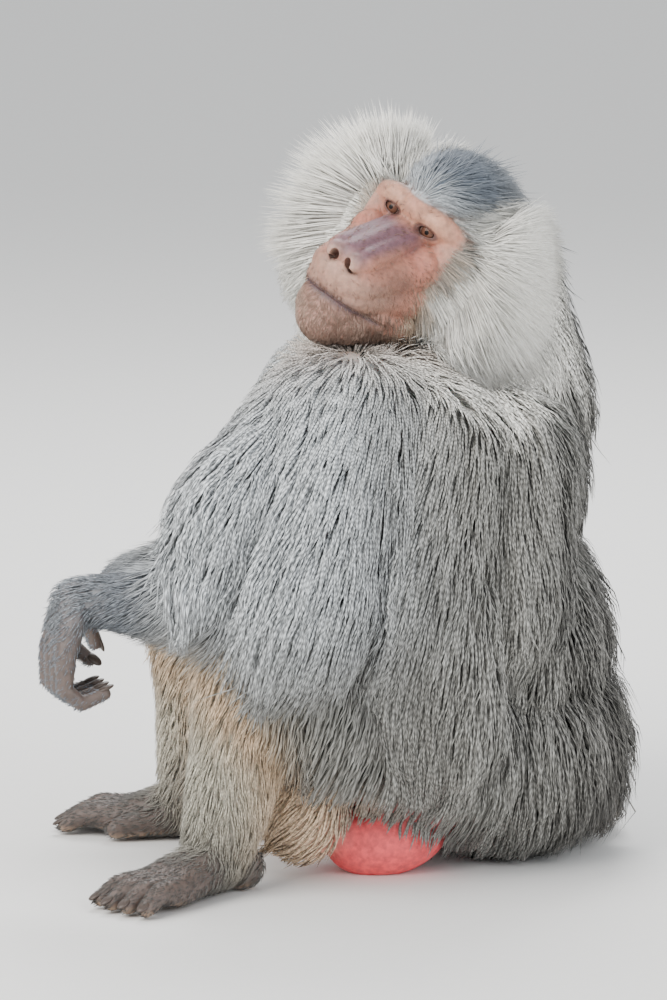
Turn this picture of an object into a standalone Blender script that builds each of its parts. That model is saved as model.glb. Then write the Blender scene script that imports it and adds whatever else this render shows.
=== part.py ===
# A seated male hamadryas baboon, life size, in metres with Z up.
# The animal faces -Y and its left side is +X. It is set out from a point on the floor under its seat,
# and moved at the end so that the origin is under the middle of its box.

import math
import random

import bmesh
import bpy
from mathutils import Euler, Matrix, Vector
from mathutils.bvhtree import BVHTree

GAP = 0.00035  # clearance that neighbouring pieces keep
MERGE = 0.00001  # points closer than this are made one
SEED = 21

# Joints of the limbs
SHOULDER_LEFT = Vector((0.122, -0.062, 0.415))
SHOULDER_RIGHT = Vector((-0.116, 0.000, 0.398))
ELBOW_LEFT = Vector((0.188, -0.110, 0.278))
CAPE = (Vector((0.108, -0.098, 0.412)), Vector((0.150, -0.160, 0.338)))
ARM_FOLD = (Vector((0.125, 0.015, 0.395)), Vector((0.160, -0.022, 0.278)))
WRIST_LEFT = Vector((0.108, -0.312, 0.270))
ELBOW_RIGHT = Vector((-0.200, 0.035, 0.262))
WRIST_RIGHT = Vector((-0.175, -0.175, 0.243))
HIP = Vector((0.072, 0.030, 0.105))
KNEE_LEFT = Vector((0.135, -0.160, 0.200))
KNEE_RIGHT = Vector((-0.185, -0.138, 0.172))
ANKLE_LEFT = Vector((0.137, -0.185, 0.044))
ANKLE_RIGHT = Vector((-0.108, -0.158, 0.044))
TOE_LEFT = Vector((0.196, -0.292, 0.014))
TOE_RIGHT = Vector((-0.160, -0.268, 0.014))

# Radii of the flesh with the inner part of the coat
CHEST_RADII = (0.148, 0.126, 0.130)
NAPE_RADII = (0.112, 0.094, 0.070)
SHOULDER_RADII = (0.078, 0.086, 0.070)
BELLY_RADII = (0.135, 0.118, 0.120)
RUMP_RADII = (0.125, 0.112, 0.098)
NECK_RADII = (0.094, 0.066)
HOOD_RADII = (0.049, 0.068, 0.046)
THROAT_RADII = (0.048, 0.036, 0.036)
FLANK_RADII = (0.060, 0.056)
UPPER_ARM_RADII = (0.080, 0.062)
CAPE_RADII = (0.055, 0.056)  # hair of the mantle that stands forward over the near arm
ARM_FOLD_RADII = (0.068, 0.062)  # hair between the near arm and the flank
FOREARM_RADII = (0.038, 0.023)
THIGH_RADII = (0.078, 0.046)
SHANK_RADII = (0.046, 0.047, 0.036)
PAD_RADII = (0.042, 0.060, 0.040)
PALM_HALF_WIDTH = 0.026
FINGER_RADIUS = 0.0078
TOE_RADIUS = 0.0088
TAIL_RADII = (0.024, 0.020, 0.017, 0.016, 0.016, 0.017, 0.015)

# Head, in its own directions from the middle of the cranium: forward, up and to its left
HEAD_MIDDLE = Vector((0.030, 0.050, 0.598))
HEAD_TURN = 52.0
HEAD_LIFT = 10.0
HEAD_TILT = 29.5
CRANIUM_RADII = (0.050, 0.066, 0.050)
EYE_RADIUS = 0.0115
EYE_FORWARD = 0.061
EYE_UP = -0.004
EYE_APART = 0.041
NOSE_FORWARD = 0.164
NOSE_UP = -0.0485
MOUTH_FORWARD = 0.1555
MOUTH_UP = -0.087
CHIN_FORWARD = 0.151
CHIN_UP = -0.135
LIP_GROOVE = 0.0019
HEAD_SKIN_TRIANGLES = 12000

# Coat: reach of the ruff from the middle of the head, and sizes of the locks
RUFF_REACH = 0.112
RUFF_LOBE = 0.080
RUFF_LOCK_WIDTH = 0.062
RUFF_ROWS = (  # slope of the root, place of the tip forward, share of the reach
    (-0.40, -0.024, 0.95), (0.25, 0.000, 1.0), (0.85, 0.024, 0.90),
)
RUFF_LOCKS = 6
MANTLE_ROWS = (  # height that the rays run to, and their slope
    (0.105, 0), (0.185, 0), (0.265, 0), (0.345, 0), (0.400, 6), (0.420, 24), (0.450, 42), (0.490, 62),
)
MANTLE_LOCK_WIDTH = 0.084
MANTLE_LOCK_SPACING = 0.100
MANTLE_RADIUS = 0.235
MANTLE_MIDDLE = Vector((0, 0.045, 0))
NECK_BASE = Vector((0, 0.060, 0.520))
CROWN_LOCK_LENGTH = 0.070
CROWN_LOCK_WIDTH = 0.036
LOCK_THICKNESS = 0.0068
LOCK_SINK = 0.009
LOCK_TAPER = (0.36, 0.82, 1.0, 0.56)
LOCK_STATIONS = (0.0, 0.26, 0.54, 0.83, 1.0)
LOCK_SEARCH = 0.05
LOCK_CLEARANCE = 0.006
LOWEST_LOCK = 0.008

HEAD_FRAME = (
    Matrix.Translation(HEAD_MIDDLE)
    @ Euler((0, 0, math.radians(HEAD_TURN))).to_matrix().to_4x4()
    @ Euler((-math.radians(HEAD_LIFT), 0, 0)).to_matrix().to_4x4()
    @ Euler((0, math.radians(HEAD_TILT), 0)).to_matrix().to_4x4()
)
HEAD_AXES = HEAD_FRAME.to_3x3()
random_sizes = random.Random(SEED)


def head_point(forward, up, left=0.0):
    return HEAD_FRAME @ Vector((left, -forward, up))


def head_direction(forward, up, left=0.0):
    return HEAD_AXES @ Vector((left, -forward, up))


def mirrored(point, side):
    return Vector((point.x * side, point.y, point.z))


def paint(name, colour, roughness):
    material = bpy.data.materials.new(name)
    material.use_nodes = True
    shader = material.node_tree.nodes["Principled BSDF"]
    shader.inputs["Base Color"].default_value = (*colour, 1.0)
    shader.inputs["Roughness"].default_value = roughness
    shader.inputs["Metallic"].default_value = 0.0
    return material


# Basic forms

def add_ball(body, centre, radii, turn=None, detail=3):
    place = Matrix.Translation(centre)
    if turn is not None:
        place = place @ turn.to_4x4()
    place = place @ Matrix.Diagonal((*radii, 1.0))
    bmesh.ops.create_icosphere(body, subdivisions=detail, radius=1.0, matrix=place)


def add_limb(body, start, end, start_radius, end_radius):
    along = end - start
    place = Matrix.Translation((start + end) / 2) @ along.to_track_quat("Z", "Y").to_matrix().to_4x4()
    bmesh.ops.create_cone(
        body, cap_ends=True, segments=20, radius1=start_radius, radius2=end_radius,
        depth=along.length, matrix=place,
    )
    add_ball(body, start, (start_radius,) * 3)
    add_ball(body, end, (end_radius,) * 3)


def add_chain(body, points, radii):
    for place in range(len(points) - 1):
        add_limb(body, points[place], points[place + 1], radii[place], radii[place + 1])


def add_tube(body, points, radius, sides=6):
    rings = []
    for place, point in enumerate(points):
        ahead = points[min(place + 1, len(points) - 1)]
        behind = points[max(place - 1, 0)]
        turn = (ahead - behind).to_track_quat("Z", "Y")
        ring = []
        for side in range(sides):
            angle = 2 * math.pi * side / sides
            spoke = Vector((math.cos(angle), math.sin(angle), 0)) * radius
            ring.append(body.verts.new(point + turn @ spoke))
        rings.append(ring)
    for first, second in zip(rings, rings[1:]):
        for side in range(sides):
            after = (side + 1) % sides
            body.faces.new((first[side], first[after], second[after], second[side]))
    body.faces.new(list(reversed(rings[0])))
    body.faces.new(rings[-1])


def object_from(name, body):
    mesh = bpy.data.meshes.new(name)
    body.to_mesh(mesh)
    body.free()
    piece = bpy.data.objects.new(name, mesh)
    bpy.context.scene.collection.objects.link(piece)
    return piece


def remove(piece):
    mesh = piece.data
    bpy.data.objects.remove(piece)
    bpy.data.meshes.remove(mesh)


# Melting, joining and cutting

def apply_modifiers(piece):
    depsgraph = bpy.context.evaluated_depsgraph_get()
    old_mesh = piece.data
    piece.data = bpy.data.meshes.new_from_object(piece.evaluated_get(depsgraph))
    piece.modifiers.clear()
    bpy.data.meshes.remove(old_mesh)
    piece.data.name = piece.name


def triangle_count(piece):
    return sum(len(face.vertices) - 2 for face in piece.data.polygons)


def thin_out(piece, triangles):
    count = triangle_count(piece)
    if count > triangles:
        decimate = piece.modifiers.new("Decimate", "DECIMATE")
        decimate.ratio = triangles / count
        apply_modifiers(piece)


def thin_out_back(piece, forward, triangles):
    # Leaves large faces behind the given plane of the head, and the face itself as it is.
    to_head = HEAD_FRAME.inverted()
    face = piece.vertex_groups.new(name="face")
    kept = [v.index for v in piece.data.vertices if -(to_head @ v.co).y > forward]
    face.add(kept, 1.0, "REPLACE")
    decimate = piece.modifiers.new("Decimate", "DECIMATE")
    decimate.ratio = (len(kept) * 2 + triangles) / triangle_count(piece)
    decimate.vertex_group = face.name
    decimate.invert_vertex_group = True
    apply_modifiers(piece)


def fuse(piece, voxel, smoothing, triangles):
    # Melts overlapping forms into one smooth skin of about the given number of triangles.
    remesh = piece.modifiers.new("Remesh", "REMESH")
    remesh.mode = "VOXEL"
    remesh.voxel_size = voxel
    smooth = piece.modifiers.new("Smooth", "SMOOTH")
    smooth.factor = 0.5
    smooth.iterations = smoothing
    apply_modifiers(piece)
    thin_out(piece, triangles)


def combine(piece, other, operation):
    boolean = piece.modifiers.new("Boolean", "BOOLEAN")
    boolean.operation = operation
    boolean.solver = "MANIFOLD"
    boolean.object = other
    apply_modifiers(piece)


def surface_of(*pieces):
    body = bmesh.new()
    for piece in pieces:
        body.from_mesh(piece.data)
    tree = BVHTree.FromBMesh(body)
    body.free()
    return tree


def swell(piece, amount):
    normals = [normal.vector.copy() for normal in piece.data.vertex_normals]
    for vertex, normal in zip(piece.data.vertices, normals):
        vertex.co += normal * amount


def swollen_copy(piece, amount):
    copy = bpy.data.objects.new(piece.name + "_cutter", piece.data.copy())
    bpy.context.scene.collection.objects.link(copy)
    copy.hide_render = True
    copy.display_type = "WIRE"
    swell(copy, amount)
    return copy


def keep_largest(piece):
    body = bmesh.new()
    body.from_mesh(piece.data)
    unseen = set(body.verts)
    largest = set()
    while unseen:
        first = unseen.pop()
        shell = {first}
        edge = [first]
        while edge:
            for link in edge.pop().link_edges:
                for vertex in link.verts:
                    if vertex in unseen:
                        unseen.discard(vertex)
                        shell.add(vertex)
                        edge.append(vertex)
        if len(shell) > len(largest):
            largest = shell
    bmesh.ops.delete(body, geom=[v for v in body.verts if v not in largest], context="VERTS")
    body.to_mesh(piece.data)
    bmesh.ops.remove_doubles(body, verts=body.verts, dist=MERGE)
    bmesh.ops.dissolve_degenerate(body, edges=body.edges, dist=MERGE)
    bmesh.ops.triangulate(body, faces=body.faces)
    if all(edge.is_manifold for edge in body.edges):
        body.to_mesh(piece.data)
    body.free()


def cut_with(piece, body):
    cutter = object_from("cutter", body)
    combine(piece, cutter, "DIFFERENCE")
    remove(cutter)


def cut_clear(piece, *others):
    # Trims the piece back to the gap from each of the others. The second cut clears thin edges,
    # where the swollen copy may fall inside the piece that it stands for.
    for other in others:
        for amount in (GAP, 0.0):
            cutter = swollen_copy(other, amount)
            combine(piece, cutter, "DIFFERENCE")
            remove(cutter)
    keep_largest(piece)


def cut_floor(piece):
    # Flattens the piece where it rests on the floor.
    body = bmesh.new()
    bmesh.ops.create_cube(body, size=2.0, matrix=Matrix.Translation((0, 0, -1.0)))
    cut_with(piece, body)
    keep_largest(piece)


# Locks of hair

def lock_from(points, outward, width):
    # One flat, tapered lock along the points: three-sided, with its ridge outward.
    body = bmesh.new()
    rings = []
    for place, share in enumerate(LOCK_TAPER):
        along = (points[place + 1] - points[max(place - 1, 0)]).normalized()
        across = along.cross(outward).normalized()
        up = across.cross(along).normalized()
        half = across * width * share / 2
        thick = up * LOCK_THICKNESS * (0.5 + share / 2)
        middle = points[place]
        rings.append([
            body.verts.new(middle - half - thick * 0.4),
            body.verts.new(middle + half - thick * 0.4),
            body.verts.new(middle + thick * 0.6),
        ])
    tip = body.verts.new(points[-1])
    for first, second in zip(rings, rings[1:]):
        for side in range(3):
            after = (side + 1) % 3
            body.faces.new((first[side], first[after], second[after]))
            body.faces.new((first[side], second[after], second[side]))
    for side in range(3):
        body.faces.new((rings[-1][side], rings[-1][(side + 1) % 3], tip))
    body.faces.new(list(reversed(rings[0])))
    bmesh.ops.recalc_face_normals(body, faces=body.faces)
    return object_from("lock", body)


def above_others(others, point, outward):
    # Lifts the point over what already lies there.
    hit = others.ray_cast(point + outward * LOCK_SEARCH, -outward, LOCK_SEARCH + LOCK_CLEARANCE)[0]
    if hit is None:
        return point
    return hit + outward * LOCK_CLEARANCE


def hanging_path(body, others, root, normal, flow, length, lift, sink):
    # Follows the lie of the coat over the body, and hangs free where the body falls away.
    length = min(length, (root.z - LOWEST_LOCK) * 1.2)
    point = root - normal * sink
    points = [point]
    for before, share in zip(LOCK_STATIONS, LOCK_STATIONS[1:]):
        outward = body.find_nearest(point)[1]
        along = flow(point)
        along = (along - outward * along.dot(outward) * 0.8).normalized()
        point = point + along * length * (share - before)
        near, outward = body.find_nearest(point)[:2]
        height = (point - near).dot(outward)
        wanted = -sink + (lift + sink) * share
        if height < wanted:
            point = point + outward * (wanted - height)
        point = above_others(others, point, outward)
        point.z = max(point.z, LOWEST_LOCK)
        points.append(point)
    return points


def pushed_out(surface, point, distance):
    near, outward = surface.find_nearest(point)[:2]
    height = (point - near).dot(outward)
    if height < distance and (point - near).length < LOCK_SEARCH:
        return point + outward * (distance - height)
    return point


def bent_path(root, normal, control, tip):
    start = root - normal * LOCK_SINK
    return [start.lerp(control, share).lerp(control.lerp(tip, share), share) for share in LOCK_STATIONS]


def grow(piece, locks):
    # Joins the locks to the node that they grow from.
    if not locks:
        return
    group = bpy.data.collections.new("locks")
    bpy.context.scene.collection.children.link(group)
    for lock in locks:
        bpy.context.scene.collection.objects.unlink(lock)
        group.objects.link(lock)
    boolean = piece.modifiers.new("Boolean", "BOOLEAN")
    boolean.operation = "UNION"
    boolean.solver = "MANIFOLD"
    boolean.operand_type = "COLLECTION"
    boolean.collection = group
    apply_modifiers(piece)
    for lock in locks:
        remove(lock)
    bpy.data.collections.remove(group)
    keep_largest(piece)


def is_clear(lock, points, others, flesh):
    if surface_of(lock).overlap(others):
        return False
    for point in points:
        near, normal = flesh.find_nearest(point)[:2]
        if (point - near).dot(normal) < 0 and (point - near).length < LOCK_SEARCH:
            return False
    return True


def set_lock(make_path, outward_of, others, flesh, width):
    # Tries higher and shorter paths until the lock lies clear of every other piece.
    for attempt in range(6):
        points = make_path(0.007 * attempt, 1 - 0.05 * attempt)
        lock = lock_from(points, outward_of(points), width * (1 - 0.08 * attempt))
        if is_clear(lock, points, others, flesh):
            return lock
        remove(lock)
    return None


def hang_lock(carrier, root, normal, flow, length, width, lift, sink=LOCK_SINK):
    # Sets one hanging lock on the carrier, clear of the other pieces and of their locks.
    others = [piece for piece in pieces if piece is not carrier]
    flesh = surface_of(*[piece for piece in others if piece not in ruffs])
    for name, own_locks in locks_of.items():
        if name != carrier.name:
            others += own_locks
    others = surface_of(*others)

    def make_path(higher, shorter):
        return hanging_path(body_surface, others, root, normal, flow, length * shorter, lift + higher, sink)

    def outward_of(points):
        return (points[2] - body_surface.find_nearest(points[2])[0]).normalized()

    lock = set_lock(make_path, outward_of, others, flesh, width)
    if lock is not None:
        locks_of[carrier.name].append(lock)


def hang_mantle(lies):
    # Staggered rows from the lowest up, each lock on the piece that its ray meets first.
    trees = [(piece, surface_of(piece)) for piece in pieces]
    for row, (height, slope) in enumerate(MANTLE_ROWS):
        middle = MANTLE_MIDDLE + Vector((0, 0, height))
        slope = math.radians(slope)
        count = round(2 * math.pi * MANTLE_RADIUS * math.cos(slope) / MANTLE_LOCK_SPACING)
        for place in range(count):
            turn = 2 * math.pi * (place + 0.5 * (row % 2) + random_sizes.uniform(-0.12, 0.12)) / count
            size = random_sizes.uniform(0.9, 1.1)
            width = MANTLE_LOCK_WIDTH * random_sizes.uniform(0.92, 1.08)
            level = Vector((math.sin(turn), math.cos(turn), 0))
            ray = level * math.cos(slope) + Vector((0, 0, math.sin(slope)))
            hits = [(*tree.ray_cast(middle + ray * 0.6, -ray, 0.6), piece) for piece, tree in trees]
            hits = [hit for hit in hits if hit[0] is not None]
            if not hits:
                continue
            root, normal, _, _, carrier = min(hits, key=lambda hit: hit[3])
            if carrier.name not in lies or not lies[carrier.name][3](root):
                continue
            spread, lift, length = lies[carrier.name][:3]

            def flow(point):
                return ((point - NECK_BASE).normalized() * spread + Vector((0, 0, -0.75))).normalized()

            hang_lock(carrier, root, normal, flow, length * size, width, lift + 0.014 * (place % 2))


def hang_limb(carrier, start, end, shares, turns, lie, length, width, lift):
    # Rows round a limb. A turn of 0 points to its outer side, and 90 degrees up or forward.
    tree = surface_of(carrier)
    along = (end - start).normalized()
    side = math.copysign(1, start.x)
    ahead = along.cross(Vector((side, 0, 0))).normalized() * side
    outward = ahead.cross(along).normalized() * side
    for row, share in enumerate(shares):
        for place, degrees in enumerate(turns):
            turn = math.radians(degrees + (turns[1] - turns[0]) * 0.5 * (row % 2))
            ray = outward * math.cos(turn) + ahead * math.sin(turn)
            root, normal = tree.ray_cast(start.lerp(end, share) + ray * 0.2, -ray)[:2]
            if root is None or ray.dot(root - start.lerp(end, share)) < 0:
                continue

            def flow(point):
                return (along + lie).normalized()

            size = random_sizes.uniform(0.92, 1.08)
            hang_lock(carrier, root, normal, flow, length * size, width * size, lift + 0.012 * (place % 2))


def hang_crown(carrier):
    tree = surface_of(carrier)
    for forward, count in ((0.020, 3), (-0.012, 4), (-0.040, 3)):
        for place in range(count):
            left = 0.058 * (place - (count - 1) / 2) / 2
            start = head_point(forward, 0.2, left)
            root, normal = tree.ray_cast(start, head_direction(0, -1))[:2]
            if root is None:
                continue

            def flow(point):
                return head_direction(-1.0, -0.35, left * 6).normalized()

            lift = 0.010 + 0.005 * (place % 2)
            hang_lock(carrier, root, normal, flow, CROWN_LOCK_LENGTH, CROWN_LOCK_WIDTH, lift, 0.004)


def grow_ruff(carrier, side, neighbours):
    # The locks run out from the face over the core and bend clear of the neighbours.
    tree = surface_of(carrier)
    flesh = surface_of(*neighbours)
    middle = head_point(0.0, -0.045, side * 0.070)
    locks = []
    for row, (slope, tip_forward, share) in enumerate(RUFF_ROWS):
        facing = 1 if slope > 0 else -1
        for place in range(RUFF_LOCKS):
            turn = math.radians(-112 + 164 * (place + 0.5 * (row % 2)) / (RUFF_LOCKS - 0.5))
            ray = head_direction(slope, math.sin(turn), side * math.cos(turn)).normalized()
            reach = RUFF_REACH + RUFF_LOBE * max(0, math.cos(turn + math.radians(35))) ** 2.5
            reach *= share * random_sizes.uniform(0.96, 1.03)
            ahead = tip_forward + 0.009 * (place % 2) * facing
            bulge = (0.012 + 0.010 * (place % 2)) * facing
            width = RUFF_LOCK_WIDTH * random_sizes.uniform(0.92, 1.08)
            root, normal = tree.ray_cast(middle + ray * 0.3, -ray)[:2]
            if root is None:
                continue

            def make_path(higher, shorter):
                tip = head_point(ahead, math.sin(turn) * reach, side * math.cos(turn) * reach)
                control = root.lerp(tip, 0.5) + head_direction(bulge, 0, 0)
                path = bent_path(root, normal, control, root.lerp(tip, shorter))
                return [path[0]] + [pushed_out(flesh, point, 0.010 + higher) for point in path[1:]]

            def outward_of(path):
                near, outward = flesh.find_nearest(path[3])[:2]
                if (path[3] - near).length > LOCK_SEARCH:
                    return head_direction(facing, 0, 0)
                return (outward + head_direction(facing * 0.5, 0, 0)).normalized()

            lock = set_lock(make_path, outward_of, flesh, flesh, width)
            if lock is not None:
                locks.append(lock)
    grow(carrier, locks)


# The pieces

def make_chest():
    body = bmesh.new()
    add_ball(body, (0, 0.045, 0.350), CHEST_RADII)
    add_ball(body, (0, 0.062, 0.440), NAPE_RADII)
    for side in (1, -1):
        add_ball(body, (side * 0.085, -0.010, 0.415), SHOULDER_RADII)
        add_limb(body, Vector((side * 0.100, 0.085, 0.385)), Vector((side * 0.122, 0.072, 0.255)), *FLANK_RADII)
    piece = object_from("chest", body)
    fuse(piece, 0.010, 8, 300)
    return piece


def make_rump(chest):
    body = bmesh.new()
    add_ball(body, (0, 0.072, 0.215), BELLY_RADII)
    add_ball(body, (0, 0.092, 0.105), RUMP_RADII)
    add_limb(body, Vector((0.148, 0.000, 0.250)), Vector((0.128, 0.020, 0.150)), *FLANK_RADII)
    add_limb(body, Vector((-0.146, 0.045, 0.250)), Vector((-0.124, 0.035, 0.150)), *FLANK_RADII)
    piece = object_from("rump", body)
    fuse(piece, 0.010, 8, 260)
    cut_clear(piece, chest)
    cut_floor(piece)
    return piece


def make_neck(chest, head):
    body = bmesh.new()
    add_limb(body, Vector((0, 0.072, 0.450)), head_point(-0.030, -0.020), *NECK_RADII)
    add_ball(body, head_point(-0.016, 0.010), HOOD_RADII, HEAD_AXES)
    add_ball(body, head_point(0.028, -0.122), THROAT_RADII, HEAD_AXES)
    piece = object_from("neck", body)
    fuse(piece, 0.006, 4, 200)
    cut_clear(piece, chest)
    cut_clear(piece, head)
    return piece


def make_head():
    body = bmesh.new()
    add_ball(body, head_point(-0.004, 0.004), CRANIUM_RADII, HEAD_AXES)
    add_limb(body, head_point(0.066, 0.007, -0.026), head_point(0.066, 0.007, 0.026), 0.0112, 0.0112)  # brow
    add_limb(body, head_point(0.040, 0.014), head_point(0.065, 0.008), 0.033, 0.018)
    add_limb(body, head_point(0.070, -0.015), head_point(0.146, -0.045), 0.0140, 0.0130)
    for side in (1, -1):
        orbit = [
            head_point(0.065, 0.006, side * 0.026), head_point(0.050, 0.000, side * 0.040),
            head_point(0.054, -0.032, side * 0.036),
        ]
        cheek = [head_point(0.068, -0.034, side * 0.030), head_point(0.028, -0.036, side * 0.040)]
        nose_ridge = [head_point(0.068, -0.018, side * 0.010), head_point(0.143, -0.046, side * 0.0125)]
        upper_jaw = [head_point(0.060, -0.042, side * 0.025), head_point(0.134, -0.066, side * 0.016)]
        lip_side = [head_point(0.060, -0.068, side * 0.031), head_point(0.131, -0.078, side * 0.0155)]
        lower_jaw = [head_point(0.020, -0.084, side * 0.036), head_point(0.122, -0.106, side * 0.012)]
        jaw_angle = [head_point(0.018, -0.030, side * 0.040), head_point(0.016, -0.084, side * 0.037)]
        face_side = [head_point(0.038, -0.030, side * 0.038), head_point(0.036, -0.080, side * 0.034)]
        mouth_corner = [head_point(0.040, -0.092, side * 0.032), head_point(0.096, -0.093, side * 0.024)]
        add_chain(body, orbit, (0.0112, 0.0125, 0.0150))
        add_chain(body, cheek, (0.018, 0.018))
        add_chain(body, nose_ridge, (0.0130, 0.0128))
        add_chain(body, upper_jaw, (0.023, 0.0195))
        add_chain(body, lip_side, (0.022, 0.019))
        add_chain(body, lower_jaw, (0.023, 0.021))
        add_chain(body, jaw_angle, (0.020, 0.022))
        add_chain(body, face_side, (0.020, 0.020))
        add_chain(body, mouth_corner, (0.022, 0.020))
        add_ball(body, eye_centre(side), (EYE_RADIUS + 0.0025,) * 3)
        wing = head_point(NOSE_FORWARD - 0.011, NOSE_UP, side * 0.0105)
        add_ball(body, wing, (0.0105, 0.0108, 0.0100), HEAD_AXES)
    add_limb(body, head_point(0.060, -0.055), head_point(0.134, -0.068), 0.034, 0.025)
    add_limb(body, head_point(0.045, -0.098), head_point(0.120, -0.108), 0.030, 0.025)
    for forward, up, half in ((MOUTH_FORWARD, MOUTH_UP + 0.017, 0.011), (MOUTH_FORWARD - 0.002, MOUTH_UP - 0.010, 0.009)):
        lip = [head_point(forward - 0.019, up, -half), head_point(forward - 0.019, up, half)]
        add_limb(body, *lip, 0.019, 0.019)
    add_ball(body, head_point(CHIN_FORWARD - 0.023, CHIN_UP + 0.025), (0.026, 0.023, 0.025), HEAD_AXES)
    piece = object_from("head", body)
    fuse(piece, 0.0032, 5, HEAD_SKIN_TRIANGLES)
    thin_out_back(piece, 0.030, 260)
    thin_out(piece, 1120)
    for side in (1, -1):
        open_eye(piece, side)
        open_nostril(piece, side)
    open_mouth(piece)
    keep_largest(piece)
    return piece


def eye_centre(side):
    return head_point(EYE_FORWARD, EYE_UP, side * EYE_APART / 2)


def open_eye(head, side):
    # The flesh in front of the eyeball is left as lids above and below the opening.
    socket = bmesh.new()
    add_ball(socket, eye_centre(side), (EYE_RADIUS + 2 * GAP,) * 3, detail=2)
    cut_with(head, socket)
    slit = bmesh.new()
    opening = head_point(EYE_FORWARD + 0.012, EYE_UP - 0.001, side * EYE_APART / 2)
    add_ball(slit, opening, (0.0090, 0.014, 0.0052), HEAD_AXES, detail=2)
    cut_with(head, slit)


def open_nostril(head, side):
    hole = bmesh.new()
    opening = head_point(NOSE_FORWARD - 0.004, NOSE_UP - 0.003, side * 0.0080)
    add_ball(hole, opening, (0.0042, 0.009, 0.0048), HEAD_AXES, detail=2)
    cut_with(head, hole)


def open_mouth(head):
    # A groove between the lips, from corner to corner round the front of the muzzle.
    tree = surface_of(head)
    points = []
    steps = 14
    for step in range(steps + 1):
        angle = math.radians(-90 + 180 * step / steps)
        height = MOUTH_UP - 0.0065 * (1 - math.cos(angle))
        outside = head_point(0.094 + 0.12 * math.cos(angle), height, 0.075 * math.sin(angle))
        inside = head_point(0.094, height)
        points.append(tree.ray_cast(outside, (inside - outside).normalized())[0])
    groove = bmesh.new()
    add_tube(groove, points, LIP_GROOVE)
    cut_with(head, groove)


def make_eye(name, side):
    body = bmesh.new()
    place = Matrix.Translation(eye_centre(side)) @ HEAD_AXES.to_4x4() @ Matrix.Rotation(math.pi / 2, 4, "X")
    bmesh.ops.create_uvsphere(body, u_segments=10, v_segments=6, radius=EYE_RADIUS - 0.0002, matrix=place)
    return object_from(name, body)


def make_ear(name, side, head):
    turn = HEAD_AXES @ Euler((0, 0, side * math.radians(35))).to_matrix()
    body = bmesh.new()
    add_ball(body, head_point(-0.022, 0.004, side * 0.062), (0.021, 0.008, 0.027), turn, detail=2)
    piece = object_from(name, body)
    cup = bmesh.new()
    add_ball(cup, head_point(-0.014, 0.005, side * 0.068), (0.015, 0.007, 0.020), turn, detail=2)
    cut_with(piece, cup)
    cut_clear(piece, head)
    return piece


def make_ruff(name, side, others):
    body = bmesh.new()
    add_ball(body, head_point(0.000, -0.030, side * 0.072), (0.042, 0.044, 0.074), HEAD_AXES)
    add_ball(body, head_point(0.004, -0.078, side * 0.070), (0.042, 0.042, 0.050), HEAD_AXES)
    piece = object_from(name, body)
    fuse(piece, 0.007, 5, 200)
    cut_clear(piece, *others)
    return piece


def make_upper_arm(name, shoulder, elbow, folds, chest):
    body = bmesh.new()
    add_limb(body, shoulder, elbow, *UPPER_ARM_RADII)
    for ends, radii in folds:
        add_limb(body, *ends, *radii)
    piece = object_from(name, body)
    fuse(piece, 0.008, 5, 170)
    cut_clear(piece, chest)
    return piece


def make_forearm(name, elbow, wrist, upper_arm):
    body = bmesh.new()
    middle = elbow.lerp(wrist, 0.4)
    add_chain(body, [elbow, middle, wrist], (FOREARM_RADII[0], FOREARM_RADII[0] * 0.95, FOREARM_RADII[1]))
    piece = object_from(name, body)
    fuse(piece, 0.005, 5, 260)
    cut_clear(piece, upper_arm)
    return piece


def make_hand(name, side, wrist, bends, thumb, others):
    # bends: how far forward and up of the wrist the knuckles, finger joints and tips lie
    body = bmesh.new()
    across = Vector((side, 0.12, 0.0)).normalized()
    add_ball(body, wrist, (0.021, 0.018, 0.018))
    for place in range(4):
        spread = (place - 1.5) / 1.5
        points = [wrist + across * spread * 0.012]
        for (forward, up), width in zip(bends, (0.92, 1.0, 0.94, 0.86)):
            points.append(wrist + across * spread * PALM_HALF_WIDTH * width + Vector((0, -forward, up)))
        radii = (0.013, 0.0105, FINGER_RADIUS, FINGER_RADIUS * 0.92, FINGER_RADIUS * 0.8)
        add_chain(body, points, radii)
    roots = [wrist - across * 0.012]
    roots += [wrist + across * inward + Vector((0, -forward, up)) for inward, forward, up in thumb]
    add_chain(body, roots, (0.012, 0.0095, 0.0078, 0.0062))
    piece = object_from(name, body)
    fuse(piece, 0.0032, 3, 360)
    cut_clear(piece, *others)
    return piece


def make_thigh(name, side, knee, rump, chest):
    body = bmesh.new()
    add_limb(body, mirrored(HIP, side), knee, *THIGH_RADII)
    piece = object_from(name, body)
    fuse(piece, 0.008, 5, 240)
    cut_clear(piece, rump, chest)
    cut_floor(piece)
    return piece


def make_shank(name, knee, ankle, thigh):
    calf = knee.lerp(ankle, 0.35) + Vector((0, 0.008, 0))
    body = bmesh.new()
    add_chain(body, [knee, calf, ankle], SHANK_RADII)
    piece = object_from(name, body)
    fuse(piece, 0.006, 5, 240)
    cut_clear(piece, thigh)
    return piece


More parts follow.
